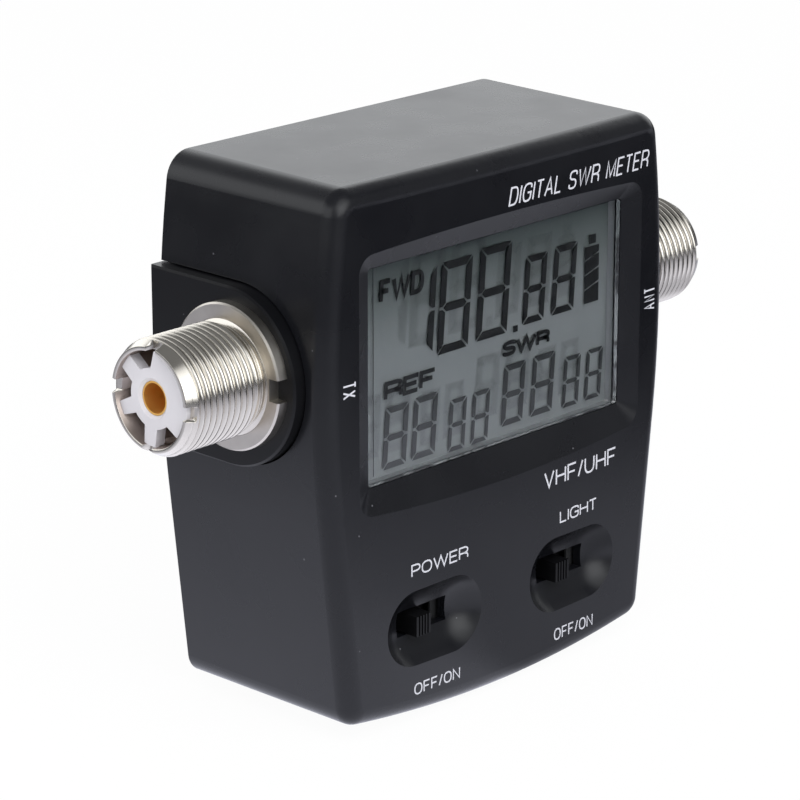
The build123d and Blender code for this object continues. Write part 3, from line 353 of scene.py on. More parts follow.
FINISHES = {
    "case_black": moulded("case_black", (0.0050, 0.0052, 0.0070), (0.0075, 0.0078, 0.0098), (0.25, 0.31),
                          depth=3e-6, Specular_IOR_Level=0.38),
    "chassis_black": moulded("chassis_black", (0.0035, 0.0036, 0.0045), (0.005, 0.005, 0.006), (0.28, 0.34),
                             pits=2500.0, depth=4e-6, Specular_IOR_Level=0.26),
    "knob_black": moulded("knob_black", (0.002, 0.002, 0.0025), (0.004, 0.004, 0.0045), (0.3, 0.38),
                          Specular_IOR_Level=0.2),
    "frame_grey": moulded("frame_grey", (0.30, 0.31, 0.32), (0.38, 0.39, 0.40), (0.35, 0.5), dusty=False),
    "star_white": moulded("star_white", (0.55, 0.53, 0.56), (0.64, 0.62, 0.65), (0.3, 0.42), pits=3000.0,
                          dusty=False),
    "sleeve_white": moulded("sleeve_white", (0.75, 0.75, 0.75), (0.85, 0.85, 0.85), (0.3, 0.4),
                            dusty=False),
    "guide_white": moulded("guide_white", (0.8, 0.8, 0.77), (0.88, 0.88, 0.85), (0.15, 0.25), dusty=False),
    "lamp_clear": moulded("lamp_clear", (0.7, 0.68, 0.5), (0.8, 0.78, 0.6), (0.1, 0.2), dusty=False),
    "strip_rubber": moulded("strip_rubber", (0.02, 0.02, 0.022), (0.05, 0.05, 0.055), (0.6, 0.75)),
    "chip_black": moulded("chip_black", (0.012, 0.012, 0.013), (0.02, 0.02, 0.021), (0.5, 0.65)),
    "ferrite": moulded("ferrite", (0.018, 0.018, 0.02), (0.03, 0.03, 0.032), (0.4, 0.6)),
    "nut": turned_metal("nut_nickel", (0.60, 0.56, 0.51), (0.74, 0.70, 0.64), (0.28, 0.4)),
    "nickel": turned_metal("nickel", (0.66, 0.62, 0.56), (0.80, 0.76, 0.69), (0.14, 0.26)),
    "bore": turned_metal("dull_bore", (0.42, 0.35, 0.31), (0.58, 0.50, 0.45), (0.3, 0.45)),
    "gilt": turned_metal("gilt", (1.0, 0.58, 0.15), (1.0, 0.70, 0.24), (0.5, 0.75)),
    "steel": sheet_metal("plated_steel", (0.50, 0.50, 0.49), (0.66, 0.66, 0.65), (0.22, 0.36)),
    "brass": sheet_metal("brass_rod", (0.62, 0.46, 0.20), (0.76, 0.58, 0.28), (0.2, 0.34)),
    "copper": sheet_metal("enamelled_wire", (0.55, 0.20, 0.08), (0.70, 0.28, 0.12), (0.2, 0.3)),
    "window": window_glass(),
    "display": display_with_painted_shade(),
    "board": solder_mask(),
    "jacket": cell_jacket(),
    "print": printed("pad_print", (0.50, 0.50, 0.55), (0.60, 0.60, 0.65), (0.45, 0.6)),
    # Painted reflection: the second row's segments are paler than the first row's, as a reflection lying
    # over them.
    "pale_segment": printed("second_row_ink_painted_reflection", (0.040, 0.043, 0.045), (0.055, 0.058, 0.060), (0.45, 0.55)),
    "segment": printed("display_ink", (0.014, 0.015, 0.016), (0.022, 0.023, 0.024), (0.45, 0.55)),
    "shadow": display_shadow(),
}
NODE_FINISHES = {
    "case_black": ("front_case", "rear_cover", "battery_door", "signal_header"),
    "chassis_black": ("coupler_chassis",),
    "knob_black": ("power_switch_knob", "light_switch_knob"),
    "frame_grey": ("display_frame",),
    "star_white": ("tx_insulator", "ant_insulator"),
    "sleeve_white": ("line_sleeve",),
    "guide_white": ("light_guide",),
    "lamp_clear": ("backlight_leds",),
    "strip_rubber": ("upper_contact_strip", "lower_contact_strip"),
    "chip_black": ("processor_chip", "amplifier_chips", "detector_parts", "power_switch_body",
                   "light_switch_body"),
    "ferrite": ("transformer_core",),
    "nut": ("tx_ring_nut", "ant_ring_nut"),
    "gilt": ("tx_contact", "ant_contact"),
    "steel": ("crystal", "board_screws", "detector_screws", "case_screws", "coupler_lid", "cell_link",
              "minus_spring", "plus_plate"),
    "brass": ("coupler_line",),
    "copper": ("transformer_winding",),
    "window": ("display_lens",),
    "display": ("lcd_panel",),
    "board": ("main_board", "detector_board"),
    "jacket": ("lower_cell", "upper_cell"),
}
for finish, names in NODE_FINISHES.items():
    for name in names:
        NODES[name].data.materials.clear()
        NODES[name].data.materials.append(FINISHES[finish])


# ---- mesh helpers ----------------------------------------------------------------
def piece(name, points, faces, finish, smooth=True, body="root"):
    """A new piece from an array of points and its faces, in the frame's own axes."""
    mesh = bpy.data.meshes.new(name)
    mesh.from_pydata(points.tolist(), [], faces)
    mesh.polygons.foreach_set("use_smooth", np.full(len(mesh.polygons), smooth))
    mesh.materials.append(FINISHES[finish])
    mesh.update()
    made = bpy.data.objects.new(name, mesh)
    bpy.context.scene.collection.objects.link(made)
    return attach(made, body)


def ring_grid(rows, columns):
    """Quads of a grid that closes on itself both ways."""
    index = np.arange(rows * columns).reshape(rows, columns)
    down = np.roll(index, -1, axis=0)
    corners = np.stack([index, np.roll(index, -1, axis=1), np.roll(down, -1, axis=1), down], axis=-1)
    return corners.reshape(-1, 4)


def outward(points, quads):
    """The quads, turned over if the volume that they close comes out negative."""
    a, b, c, d = (points[quads[:, i]] for i in range(4))
    volume = np.einsum("ij,ij->i", a, np.cross(b, c) + np.cross(c, d)).sum()
    return (quads if volume > 0 else quads[:, ::-1]).tolist()


def anticlockwise(outline):
    """The outline's (x, z) corners in anticlockwise order, by the sign of the area they close."""
    after = np.roll(outline, -1, axis=0)
    area = (outline[:, 0] * after[:, 1] - after[:, 0] * outline[:, 1]).sum()
    return outline if area > 0 else outline[::-1]


def set_at(outline, y):
    """(x, z) corners stood at one depth."""
    return np.stack([outline[:, 0], np.full(len(outline), y), outline[:, 1]], axis=1)


def segment_plates(outlines):
    """Closed plates: each outline of (x, z) is set at the segments' depth and again behind it, and
    walled between the two."""
    points, faces = [], []
    for outline in outlines:
        n = len(outline)
        first = sum(len(part) for part in points)
        near = set_at(anticlockwise(outline), SEGMENT_Y)
        points += [near, near + (0, SEGMENT_THICK, 0)]
        ring = np.arange(n)
        faces.append((first + ring).tolist())
        faces.append((first + n + ring[::-1]).tolist())
        after = np.roll(ring, -1)
        faces += (first + np.stack([ring, ring + n, after + n, after], axis=1)).tolist()
    return np.concatenate(points), faces


# ---- threaded barrels ------------------------------------------------------------
def barrel_path():
    """(distance out, radius) round the barrel's wall, outside to the tip and then back down the bore,
    and which of these points are threaded."""
    ring_low, ring_high = (THREAD_START - behind for behind in NECK_RING)
    rows = np.linspace(THREAD_START, BARREL_TIP, TURNS_DRAWN * ROWS_A_TURN)
    crest = np.interp(rows, [THREAD_START, THREAD_START + THREAD_LEAD, THREAD_END, BARREL_TIP],
                      [NECK_R, THREAD_R, THREAD_R, TIP_R])
    root = [(BARREL_ROOT, SHOULDER_R), (BARREL_ROOT, THREAD_R), (NUT_FACE, THREAD_R), (NUT_FACE, NECK_R),
            (ring_low, NECK_R), (ring_low, NECK_RING_R), (ring_high, NECK_RING_R), (ring_high, NECK_R),
            (THREAD_START, NECK_R)]
    bore = [(BARREL_TIP, BARREL_BORE), (SHOULDER_X, BARREL_BORE), (SHOULDER_X, SHOULDER_R)]
    path = np.concatenate([root, np.stack([rows, crest], axis=1), bore])
    threaded = np.concatenate([np.zeros(len(root)), np.ones(len(rows)), np.zeros(len(bore))])
    return softened(path, threaded)


def softened(path, threaded):
    """Each sharp corner of the path becomes two points a step either side of it, for a clean edge."""
    step, near_straight = 0.03 * MM, 0.98
    ahead = np.roll(path, -1, axis=0) - path
    length = np.linalg.norm(ahead, axis=1, keepdims=True)
    along = ahead / np.maximum(length, 1e-9)
    before = np.roll(along, 1, axis=0)
    reach = np.minimum(step, 0.3 * length)
    behind = np.roll(reach, 1, axis=0)
    both = np.stack([path - before * behind, path + along * reach], axis=1).reshape(-1, 2)
    corner = np.repeat((before * along).sum(axis=1) < near_straight, 2)
    keep = corner | (np.arange(len(both)) % 2 == 0)
    return both[keep], np.repeat(threaded, 2)[keep]


def barrel_angles():
    """Angles about the axis, even steps with a close pair at each side of the four end notches, and
    half the angle that a notch spans."""
    half, sliver = NOTCH_W / 2 / ((THREAD_R + BARREL_BORE) / 2), 0.002
    middles = NOTCH_TURN + np.arange(4) * math.pi / 2
    edges = (middles[:, None] + np.array([-1, 1]) * half).ravel()
    pairs = (edges[:, None] + np.array([-1, 1]) * sliver).ravel()
    even = np.arange(STEPS_AROUND) * math.tau / STEPS_AROUND
    return np.unique(np.mod(np.concatenate([even, pairs]), math.tau)), half


def threaded_barrel(name, side, replaced):
    """Wall path carried round the axis.  A place's turn is its distance along X over the pitch less its
    angle over a full turn.  The radius loses the thread's depth times the square of how far that turn
    is from the nearest crest, over half a turn, and in four narrow sectors the tip is pulled back by
    the notch's depth."""
    path, threaded = barrel_path()
    angles, half = barrel_angles()
    out, radius = (column[:, None] + 0 * angles for column in path.T)
    full_turn = angles if side > 0 else math.pi - angles
    phase = side * out / THREAD_PITCH - full_turn / math.tau
    from_crest = 2 * np.abs(phase - np.round(phase))
    groove = from_crest ** 2
    cut = np.minimum(radius, THREAD_R - THREAD_DEEP * groove)
    radius = np.where(threaded[:, None] > 0, cut, radius)
    from_notch = np.abs(np.mod(angles - NOTCH_TURN + math.pi / 4, math.pi / 2) - math.pi / 4)
    out = np.where(from_notch < half, np.minimum(out, BARREL_TIP - NOTCH_DEEP), out)
    points = np.stack([side * out, AXIS_Y + side * radius * np.cos(angles),
                       AXIS_Z + radius * np.sin(angles)], axis=-1).reshape(-1, 3)
    quads = ring_grid(len(path), len(angles))
    made = piece(name, points, outward(points, quads), "nickel")
    made.data.materials.append(FINISHES["bore"])
    inside = (radius < BARREL_BORE + HAIR) & (out < BARREL_TIP - HAIR)
    made.data.polygons.foreach_set("material_index", inside.ravel().astype(np.int32))
    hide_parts(replaced)


threaded_barrel("tx_threaded_barrel", -1, "tx_socket_shell")
threaded_barrel("ant_threaded_barrel", 1, "ant_socket_shell")


# ---- lettering -------------------------------------------------------------------
# Each letter is its width over its height, and its strokes' middle lines on a square from 0 to 1.
# A stroke is its corners, how far each bend is rounded (0 to 1), and whether it closes.
LETTERS = {
    "A": (0.62, [([(0, 0), (0.5, 1), (1, 0)], 0, False), ([(0.17, 0.34), (0.83, 0.34)], 0, False)]),
    "D": (0.60, [([(0, 0.5), (0, 1), (1, 1), (1, 0), (0, 0), (0, 0.5)], (0, 0, 1, 1, 0, 0), False)]),
    "E": (0.50, [([(1, 1), (0, 1), (0, 0), (1, 0)], 0, False), ([(0, 0.52), (0.9, 0.52)], 0, False)]),
    "F": (0.50, [([(1, 1), (0, 1), (0, 0)], 0, False), ([(0, 0.50), (0.86, 0.50)], 0, False)]),
    "G": (0.62, [([(1, 0.74), (1, 1), (0, 1), (0, 0), (1, 0), (1, 0.48), (0.55, 0.48)],
                  (0, 1, 1, 1, 1, 0, 0), False)]),
    "H": (0.58, [([(0, 0), (0, 1)], 0, False), ([(1, 0), (1, 1)], 0, False),
                 ([(0, 0.52), (1, 0.52)], 0, False)]),
    "I": (0.0, [([(0.5, 0), (0.5, 1)], 0, False)]),
    "L": (0.46, [([(0, 1), (0, 0), (1, 0)], 0, False)]),
    "M": (0.70, [([(0, 0), (0, 1), (0.5, 0.06), (1, 1), (1, 0)], 0, False)]),
    "N": (0.58, [([(0, 0), (0, 1), (1, 0), (1, 1)], 0, False)]),
    "O": (0.64, [([(0, 0), (0, 1), (1, 1), (1, 0)], 1, True)]),
    "P": (0.54, [([(0, 0), (0, 1), (1, 1), (1, 0.45), (0, 0.45)], (0, 0, 1, 1, 0), False)]),
    "R": (0.58, [([(0, 0), (0, 1), (1, 1), (1, 0.47), (0, 0.47)], (0, 0, 1, 1, 0), False),
                 ([(0.55, 0.47), (1, 0.36), (1, 0)], (0, 0.8, 0), False)]),
    "S": (0.56, [([(1, 0.76), (1, 1), (0, 1), (0, 0.53), (1, 0.5), (1, 0), (0, 0), (0, 0.25)],
                  (0, 1, 1, 1, 1, 1, 1, 0), False)]),
    "T": (0.52, [([(0.5, 0), (0.5, 1)], 0, False), ([(0, 1), (1, 1)], 0, False)]),
    "U": (0.58, [([(0, 1), (0, 0), (1, 0), (1, 1)], (0, 1, 1, 0), False)]),
    "V": (0.56, [([(0, 1), (0.5, 0), (1, 1)], 0, False)]),
    "W": (0.96, [([(0, 1), (0.25, 0), (0.5, 1), (0.75, 0), (1, 1)], 0, False)]),
    "X": (0.56, [([(0, 0), (1, 1)], 0, False), ([(0, 1), (1, 0)], 0, False)]),
    "/": (0.26, [([(0, 0), (1, 1)], 0, False)]),
    " ": (0.26, []),
}
BEND_STEPS = 6
MITRE_LEAST = 0.35                       # keeps the point of a sharp corner short


def rounded(corners, bends, closed):
    """The stroke's middle line, each corner swapped for points on a parabola that touches both its
    runs: (1-t)^2 start + 2t(1-t) corner + t^2 end."""
    corners = np.asarray(corners, float)
    bends = np.broadcast_to(bends, len(corners)).astype(float)
    before = np.roll(corners, 1, axis=0)
    after = np.roll(corners, -1, axis=0)
    if not closed:
        before[0], after[-1] = corners[0], corners[-1]
    start = corners + (before - corners) * 0.5 * bends[:, None]
    end = corners + (after - corners) * 0.5 * bends[:, None]
    t = np.linspace(0, 1, BEND_STEPS + 1)[None, :, None]
    bent = (1 - t) ** 2 * start[:, None] + 2 * t * (1 - t) * corners[:, None] + t ** 2 * end[:, None]
    line = bent.reshape(-1, 2)
    apart = np.linalg.norm(np.diff(line, axis=0), axis=1) > 1e-9
    line = line[np.concatenate([[True], apart])]
    return line[:-1] if closed and np.allclose(line[0], line[-1]) else line


def ribbon(line, width, closed):
    """Left and right edges of a stroke: the middle line moved out by half the width along its mitres."""
    ahead = np.roll(line, -1, axis=0) - line
    if not closed:
        ahead[-1] = ahead[-2]
    ahead /= np.linalg.norm(ahead, axis=1, keepdims=True)
    behind = np.roll(ahead, 1, axis=0)
    if not closed:
        behind[0] = ahead[0]
    normal_a = np.stack([-ahead[:, 1], ahead[:, 0]], axis=1)
    normal_b = np.stack([-behind[:, 1], behind[:, 0]], axis=1)
    spread = 1 + (normal_a * normal_b).sum(axis=1, keepdims=True)
    mitre = (normal_a + normal_b) / np.maximum(spread, MITRE_LEAST) * width / 2
    return line + mitre, line - mitre


def stroke_bar(line, width, closed, surface, depth):
    """A stroke as a closed bar: a box section carried along the middle line.  surface gives the depth
    at which each x of the front lies."""
    left, right = ribbon(line, width, closed)
    rows = []
    for edge, behind in ((left, 0), (right, 0), (right, depth), (left, depth)):
        rows.append(np.stack([edge[:, 0], surface(edge[:, 0]) + behind, edge[:, 1]], axis=1))
    points = np.stack(rows, axis=1).reshape(-1, 3)
    count = len(line)
    quads = ring_grid(count, 4)
    if not closed:
        caps = np.array([[0, 1, 2, 3], [4 * count - 1, 4 * count - 2, 4 * count - 3, 4 * count - 4]])
        quads = np.concatenate([quads[:4 * (count - 1)], caps])
    return points, np.asarray(outward(points, quads))


def on_face(x):
    """Depth of the front face at x, a hair in front: the face bows from side to side."""
    return FACE_Y + FACE_ROUND - np.sqrt(FACE_ROUND ** 2 - x ** 2) - HAIR


def on_display(x):
    """Depth of the display's segments: the same at every x."""
    return np.full_like(x, SEGMENT_Y)


def lettering(name, words, across, up, stroke, finish="print", slant=0.0, turn=0, surface=on_face,
              apart=0.13):
    """A line of letters whose outer edges fill the box across by up.  turn is the quarter turns that
    the line makes, slant leans the letters, and apart is their gap over their height."""
    high, long = up[1] - up[0], across[1] - across[0]
    if turn:
        high, long = long, high
    gap = apart * high + stroke
    natural = sum(LETTERS[c][0] for c in words) * high
    fixed = gap * (len(words) - 1) + stroke + slant * high
    stretch = (long - fixed) / natural
    bars, at = [], stroke / 2
    for c in words:
        wide = LETTERS[c][0] * high * stretch
        for corners, bends, closed in LETTERS[c][1]:
            line = rounded(corners, bends, closed)
            rise = stroke / 2 + line[:, 1] * (high - stroke)
            run = at + line[:, 0] * wide + rise * slant
            place = {0: (across[0] + run, up[0] + rise), 1: (across[1] - rise, up[0] + run),
                     -1: (across[0] + rise, up[1] - run)}[turn]
            bars.append(stroke_bar(np.stack(place, axis=1), stroke, closed, surface, PRINT_THICK))
        at += wide + gap
    firsts = np.cumsum([0] + [len(points) for points, quads in bars])
    quads = np.concatenate([bar[1] + first for bar, first in zip(bars, firsts)])
    piece(name, np.concatenate([bar[0] for bar in bars]), quads.tolist(), finish, smooth=False)


def span(low, high):
    """Two ends in millimetres, as metres."""
    return low * MM, high * MM


def print_face():
    """Pad printing on the face: the title, the bands, and what each socket and switch is for."""
    thin = PRINT_STROKE
    lettering("print_title", "DIGITAL SWR METER", span(-0.3, 30.0), span(69.7, 72.3), thin, slant=0.2)
    lettering("print_tx", "TX", span(-31.4, -29.1), span(49.5, 51.7), thin * 0.9, turn=-1)
    lettering("print_ant", "ANT", span(29.4, 31.9), span(48.5, 51.9), thin * 0.9, turn=1)
    lettering("print_band", "VHF/UHF", span(7.8, 23.6), span(27.3, 29.8), thin * 1.1)
    lettering("print_power", "POWER", span(-18.9, -7.8), span(21.5, 23.3), thin * 0.9)
    lettering("print_light", "LIGHT", span(11.3, 19.4), span(21.4, 23.2), thin * 0.9)
    lettering("print_power_states", "OFF/ON", span(-18.3, -9.3), span(4.1, 5.8), thin * 0.85)
    lettering("print_light_states", "OFF/ON", span(10.4, 19.0), span(3.8, 5.6), thin * 0.85)


print_face()


# ---- display ---------------------------------------------------------------------
def digit(x, z, width, height, bar):
    """Seven bars of a leaning figure eight, from its lower left corner, all in millimetres.  The top
    bar, the upper left bar and the middle bar are drawn, and mirroring them gives the rest."""
    w, h, t, g, m = width, height, bar, SEGMENT_GAP / 2, height / 2
    top = np.array([(2 * g, h), (w - 2 * g, h), (w - t - 2 * g, h - t), (t + 2 * g, h - t)])
    side = np.array([(0, h - 2 * g), (t, h - t - 2 * g), (t, m + t / 2 + g), (t / 2, m + 2 * g),
                     (0, m + 2 * g)])
    middle = np.array([(t / 2 + 2 * g, m), (t + 2 * g, m + t / 2), (w - t - 2 * g, m + t / 2),
                       (w - t / 2 - 2 * g, m), (w - t - 2 * g, m - t / 2), (t + 2 * g, m - t / 2)])
    over, across = np.array([1, -1]), np.array([-1, 1])
    bars = [top, top * over + (0, h), side, side * over + (0, h), side * across + (w, 0),
            side * across * over + (w, h), middle]
    lean = np.array([(1, 0), (math.tan(DIGIT_LEAN), 1)])
    return [(outline @ lean + (x, z)) * MM for outline in bars]


def one(x, z, height, bar):
    """The half digit: the two right-hand bars of a figure eight, stood at x.  blank is the width that
    its missing left side would take."""
    blank = 3.0
    return digit(x - blank, z, blank + bar, height, bar)[4:6]


def block(x, z, width, height):
    """A plain upright rectangle, in millimetres like the digits."""
    return [np.array([(x, z), (x + width, z), (x + width, z + height), (x, z + height)]) * MM]


def hatched(x, z, width, height, stripes):
    """Battery sign: a body cut by slanting gaps into a stack of bars, and its cap."""
    step, cut, slope = height / stripes, 0.25, 0.9
    bars = []
    for i in range(stripes):
        low, high = z + i * step, z + (i + 1) * step - cut
        low_right = low + slope * (i > 0)
        high_right = high + slope * (i < stripes - 1)
        bars.append(np.array([(x, low), (x + width, low_right), (x + width, high_right), (x, high)]) * MM)
    return bars + block(x + width * 0.3, z + height + 0.1, width * 0.45, 1.3)


def display_figures():
    """The digits, the point and the battery sign that the display shows, in its two rows."""
    first = (one(-12.0, 50.75, 12.1, 1.1) + digit(-10.0, 50.1, 6.1, 12.8, 1.15)
             + digit(-2.3, 50.3, 6.3, 13.0, 1.15) + block(5.4, 50.0, 0.9, 0.9)
             + digit(7.2, 50.6, 4.4, 9.7, 0.95) + digit(13.2, 50.7, 4.7, 9.8, 0.95)
             + hatched(20.3, 50.9, 3.0, 8.5, 4))
    second = (digit(-20.6, 36.3, 4.5, 8.6, 0.85) + digit(-15.0, 36.3, 4.6, 8.7, 0.85)
              + digit(-7.8, 35.7, 3.3, 7.4, 0.62) + digit(-3.2, 35.7, 3.4, 7.4, 0.62)
              + digit(3.0, 36.8, 4.4, 8.7, 0.85) + digit(9.0, 36.8, 4.6, 8.7, 0.85)
              + digit(15.8, 36.5, 3.4, 7.4, 0.62) + digit(20.6, 36.5, 3.4, 7.4, 0.62))
    return first, second


def outward_at_corners(outline):
    """At each corner, the unit way out between the outward normals of the two sides that meet there."""
    ahead = np.roll(outline, -1, axis=0) - outline
    ahead /= np.linalg.norm(ahead, axis=1, keepdims=True)
    normal = np.stack([ahead[:, 1], -ahead[:, 0]], axis=1)
    out = normal + np.roll(normal, 1, axis=0)
    return out / np.maximum(np.linalg.norm(out, axis=1, keepdims=True), 1e-6)


def soft_patches(outlines):
    """Flat blurred copies on the reflector: each outline, dark, pulled in a hair towards its middle,
    with a rim round it that fades out over the shade's spread.  The shade attribute carries how dark
    each point is."""
    points, faces, shade = [], [], []
    y = panel_low.y - HAIR
    for outline in outlines:
        n = len(outline)
        first = sum(len(part) for part in points)
        outline = anticlockwise(outline)
        core = outline * (1 - SHADE_PULL) + outline.mean(0) * SHADE_PULL
        rim = outline + outward_at_corners(outline) * SHADE_SPREAD
        points += [set_at(core + SHADE_SHIFT, y), set_at(rim + SHADE_SHIFT, y)]
        shade += [np.ones(n), np.zeros(n)]
        ring = np.arange(n)
        after = np.roll(ring, -1)
        faces.append((first + ring).tolist())
        faces += (first + np.stack([ring, ring + n, after + n, after], axis=1)).tolist()
    return np.concatenate(points), faces, np.concatenate(shade)


def build_display():
    """The two rows, the three words, the line down the left edge, and the shade behind them all."""
    first, second = display_figures()
    # The second row's paler ink is a painted reflection.
    for name, outlines, ink in (("display_first_row", first, "segment"),
                                ("display_second_row", second, "pale_segment")):
        piece(name, *segment_plates(outlines), ink, smooth=False)
    for name, words, across, up, stroke in (
            ("display_fwd", "FWD", span(-21.2, -12.4), span(59.6, 62.9), 0.70 * MM),
            ("display_ref", "REF", span(-20.3, -10.1), span(45.9, 48.6), 0.62 * MM),
            ("display_swr", "SWR", span(3.2, 13.1), span(46.8, 49.0), 0.56 * MM)):
        lettering(name, words, across, up, stroke, "segment", slant=0.08, surface=on_display, apart=0.02)
    piece("display_edge_line", *segment_plates(block(-22.35, 35.9, 0.1, 29.6)), "segment", smooth=False)
    points, faces, shade = soft_patches(first + second)
    made = piece("display_shadow", points, faces, "shadow", smooth=False)
    made.data.attributes.new("shade", "FLOAT", "POINT").data.foreach_set("value", shade)


build_display()


# ---- stage -----------------------------------------------------------------------
FLOOR_REACH = 6.0                        # half the floor's side
FLOOR_WHITE = 0.96                       # share of plain white in the floor as the camera sees it
FLOOR_TINT = (0.94, 0.96, 1.1, 1)        # of the floor as the object mirrors it
FLOOR_GLOW = 1.45                        # strength of the mirrored floor at the object's foot
FLOOR_FADE = 0.19                        # metres over which the mirrored floor dims to a third
TABLE_WAY = (0.722, -0.692, 0)           # the white table stretches this way from the object
TABLE_SECTOR = (0.70, 0.93)              # cosines from that way between which it gives way to the floor
TABLE_LEVEL = 0.66                       # strength of the mirrored table
TABLE_EDGE = (0.07, 0.17)                # in front, the white table dims between these distances
FLOOR_BEYOND = (0.45, 0.90)              # and the room is light again beyond these
BAND_FOOT = (-0.02, 0.10)                # heights of a direction where the bright band starts
BAND_HEAD = (0.50, 0.70)                 # and where it gives way to the ceiling
CEILING = 0.13                           # as a share of the band
WALLS = 1.5                              # strength of the band
WALL_TINT = (0.96, 0.98, 1.0, 1)         # of the walls as they light the object
WALL_WHITE = (0.985, 0.985, 0.985, 1)    # and as the camera sees them
DARK_CORNERS = (((0.687, -0.658, 0.309), (0.72, 0.93), 0.15),       # middle, edges and share of light
                ((-0.687, -0.658, 0.309), (0.90, 0.985), 0.3))
BRIGHT_PATCH = ((-0.10, -0.85, 0.52), (0.80, 0.95), 1.3)            # middle, edges and added light
CAMERA_AZIMUTH = math.radians(-46.235)
CAMERA_ELEVATION = math.radians(17.98)
CAMERA_LENS = 153.99
CAMERA_SPOT = (-331.89 * MM, -313.43 * MM, 186.91 * MM)


def floor_finish():
    """Plain pale floor.  The camera sees it white.  The object mirrors it darkening away from its own
    foot, and on the table's side as a white table, a dark gap, and the light room beyond."""
    material, tree, shader = finish_for("floor", Roughness=0.9)
    shader.inputs["Base Color"].default_value = (0.92, 0.92, 0.92, 1)
    rays = node(tree, "ShaderNodeLightPath")
    here = object_place(tree)
    distance = node(tree, "ShaderNodeVectorMath", {0: here}, operation="LENGTH").outputs["Value"]
    reach = node(tree, "ShaderNodeMath", {0: distance, 1: -1 / FLOOR_FADE}, operation="MULTIPLY").outputs[0]
    fade = node(tree, "ShaderNodeMath", {0: reach}, operation="EXPONENT").outputs[0]
    way = node(tree, "ShaderNodeVectorMath", {0: here}, operation="NORMALIZE").outputs[0]
    toward = node(tree, "ShaderNodeVectorMath", {0: way, 1: TABLE_WAY},
                  operation="DOT_PRODUCT").outputs["Value"]
    sector = smooth_step(tree, toward, TABLE_SECTOR)
    table = smooth_step(tree, distance, TABLE_EDGE, TABLE_LEVEL, 0.0)
    beyond = smooth_step(tree, distance, FLOOR_BEYOND)
    ahead = node(tree, "ShaderNodeMath", {0: table, 1: beyond}, operation="ADD").outputs[0]
    side = node(tree, "ShaderNodeMath", {0: fade, 1: FLOOR_GLOW}, operation="MULTIPLY").outputs[0]
    level = node(tree, "ShaderNodeMix", {0: sector, 2: side, 3: ahead}, data_type="FLOAT").outputs[0]
    mirrored = node(tree, "ShaderNodeEmission", {"Color": FLOOR_TINT, "Strength": level})
    swap = node(tree, "ShaderNodeMixShader", {0: rays.outputs["Is Glossy Ray"], 1: shader.outputs[0],
                                              2: mirrored.outputs[0]})
    white = node(tree, "ShaderNodeEmission", {"Strength": 1.0})
    seen = node(tree, "ShaderNodeMixShader", {0: FLOOR_WHITE, 1: swap.outputs[0], 2: white.outputs[0]})
    camera_only = node(tree, "ShaderNodeMixShader", {0: rays.outputs["Is Camera Ray"],
                                                     1: swap.outputs[0], 2: seen.outputs[0]})
    output = tree.nodes["Material Output"]
    tree.links.new(camera_only.outputs[0], output.inputs["Surface"])
    return material


def lay_floor():
    """A square floor at the height that the object stands on."""
    corners = np.array([(-1, -1, 0), (1, -1, 0), (1, 1, 0), (-1, 1, 0)]) * FLOOR_REACH
    mesh = bpy.data.meshes.new("floor")
    mesh.from_pydata(corners.tolist(), [], [(0, 1, 2, 3)])
    mesh.materials.append(floor_finish())
    floor = bpy.data.objects.new("floor", mesh)
    bpy.context.scene.collection.objects.link(floor)


def stand_at(held, spot, back):
    """Put a lamp or a camera at a spot, level, with its back the way that back points."""
    back = np.asarray(back) / np.linalg.norm(back)
    right = np.cross((0, 0, 1), back)
    right /= np.linalg.norm(right)
    rows = np.stack([right, np.cross(back, right), back], axis=1)
    held.matrix_world = Matrix([[*row, at] for row, at in zip(rows, spot)] + [[0, 0, 0, 1]])
    bpy.context.scene.collection.objects.link(held)


def soft_light(name, spot, aim, size, watts):
    """A square soft box at a spot, aimed at a point."""
    lamp = bpy.data.lights.new(name, "AREA")
    lamp.shape = "SQUARE"
    lamp.size = size
    lamp.energy = watts
    holder = bpy.data.objects.new(name, lamp)
    stand_at(holder, spot, np.subtract(spot, aim))
    holder.visible_camera = False
    holder.visible_glossy = False


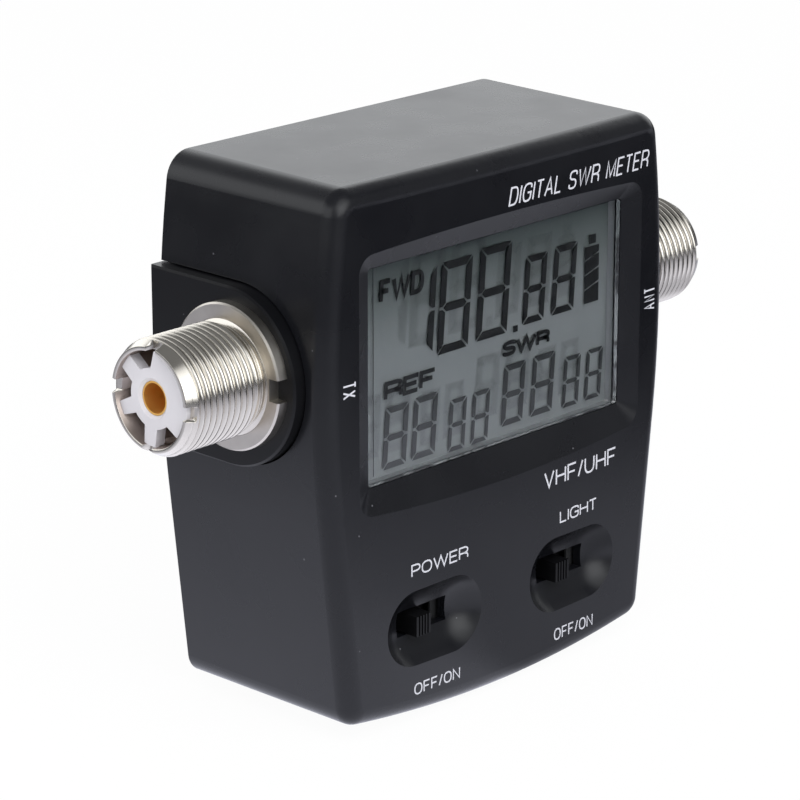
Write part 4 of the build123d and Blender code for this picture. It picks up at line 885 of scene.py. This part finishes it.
def surroundings():
    """Studio walls: white to look at.  Lighting and mirrored, they are a bright band above the horizon
    under a dim ceiling, with a dark corner at each side of the front and a brighter patch between."""
    world = bpy.data.worlds.new("studio")
    bpy.context.scene.world = world
    world.use_nodes = True
    tree = world.node_tree
    way = node(tree, "ShaderNodeTexCoord").outputs["Generated"]
    height = node(tree, "ShaderNodeSeparateXYZ", {0: way}).outputs[2]
    lower = smooth_step(tree, height, BAND_FOOT)
    upper = smooth_step(tree, height, BAND_HEAD, 1.0, CEILING)
    light = node(tree, "ShaderNodeMath", {0: lower, 1: upper}, operation="MULTIPLY").outputs[0]
    for middle, edges, share in DARK_CORNERS:
        near = node(tree, "ShaderNodeVectorMath", {0: way, 1: middle}, operation="DOT_PRODUCT")
        shade = smooth_step(tree, near.outputs["Value"], edges, 1.0, share)
        light = node(tree, "ShaderNodeMath", {0: light, 1: shade}, operation="MULTIPLY").outputs[0]
    light = node(tree, "ShaderNodeMath", {0: light, 1: WALLS}, operation="MULTIPLY").outputs[0]
    middle, edges, extra = BRIGHT_PATCH
    near = node(tree, "ShaderNodeVectorMath", {0: way, 1: middle}, operation="DOT_PRODUCT")
    patch = smooth_step(tree, near.outputs["Value"], edges, 0.0, extra)
    light = node(tree, "ShaderNodeMath", {0: light, 1: patch}, operation="ADD").outputs[0]
    rays = node(tree, "ShaderNodeLightPath")
    strength = node(tree, "ShaderNodeMix", {0: rays.outputs["Is Camera Ray"], 2: light, 3: 1.0},
                    data_type="FLOAT").outputs[0]
    back = tree.nodes["Background"]
    colour = node(tree, "ShaderNodeMix", {0: rays.outputs["Is Camera Ray"], 6: WALL_TINT,
                                          7: WALL_WHITE}, data_type="RGBA").outputs[2]
    tree.links.new(colour, back.inputs["Color"])
    tree.links.new(strength, back.inputs["Strength"])


def set_camera():
    """The camera looks down at the transmitter side of the front from about half a metre."""
    level = math.cos(CAMERA_ELEVATION)
    back = (math.sin(CAMERA_AZIMUTH) * level, -math.cos(CAMERA_AZIMUTH) * level, math.sin(CAMERA_ELEVATION))
    lens = bpy.data.cameras.new("camera")
    lens.sensor_width = 36
    lens.lens = CAMERA_LENS
    lens.clip_start, lens.clip_end = 0.02, 20
    camera = bpy.data.objects.new("camera", lens)
    stand_at(camera, CAMERA_SPOT, back)
    bpy.context.scene.camera = camera


lay_floor()
soft_light("overhead", (-0.2, -0.35, 0.7), aim=(0, 0, 0.04), size=0.7, watts=5.0)
surroundings()
set_camera()
bpy.context.scene.view_settings.view_transform = "Standard"
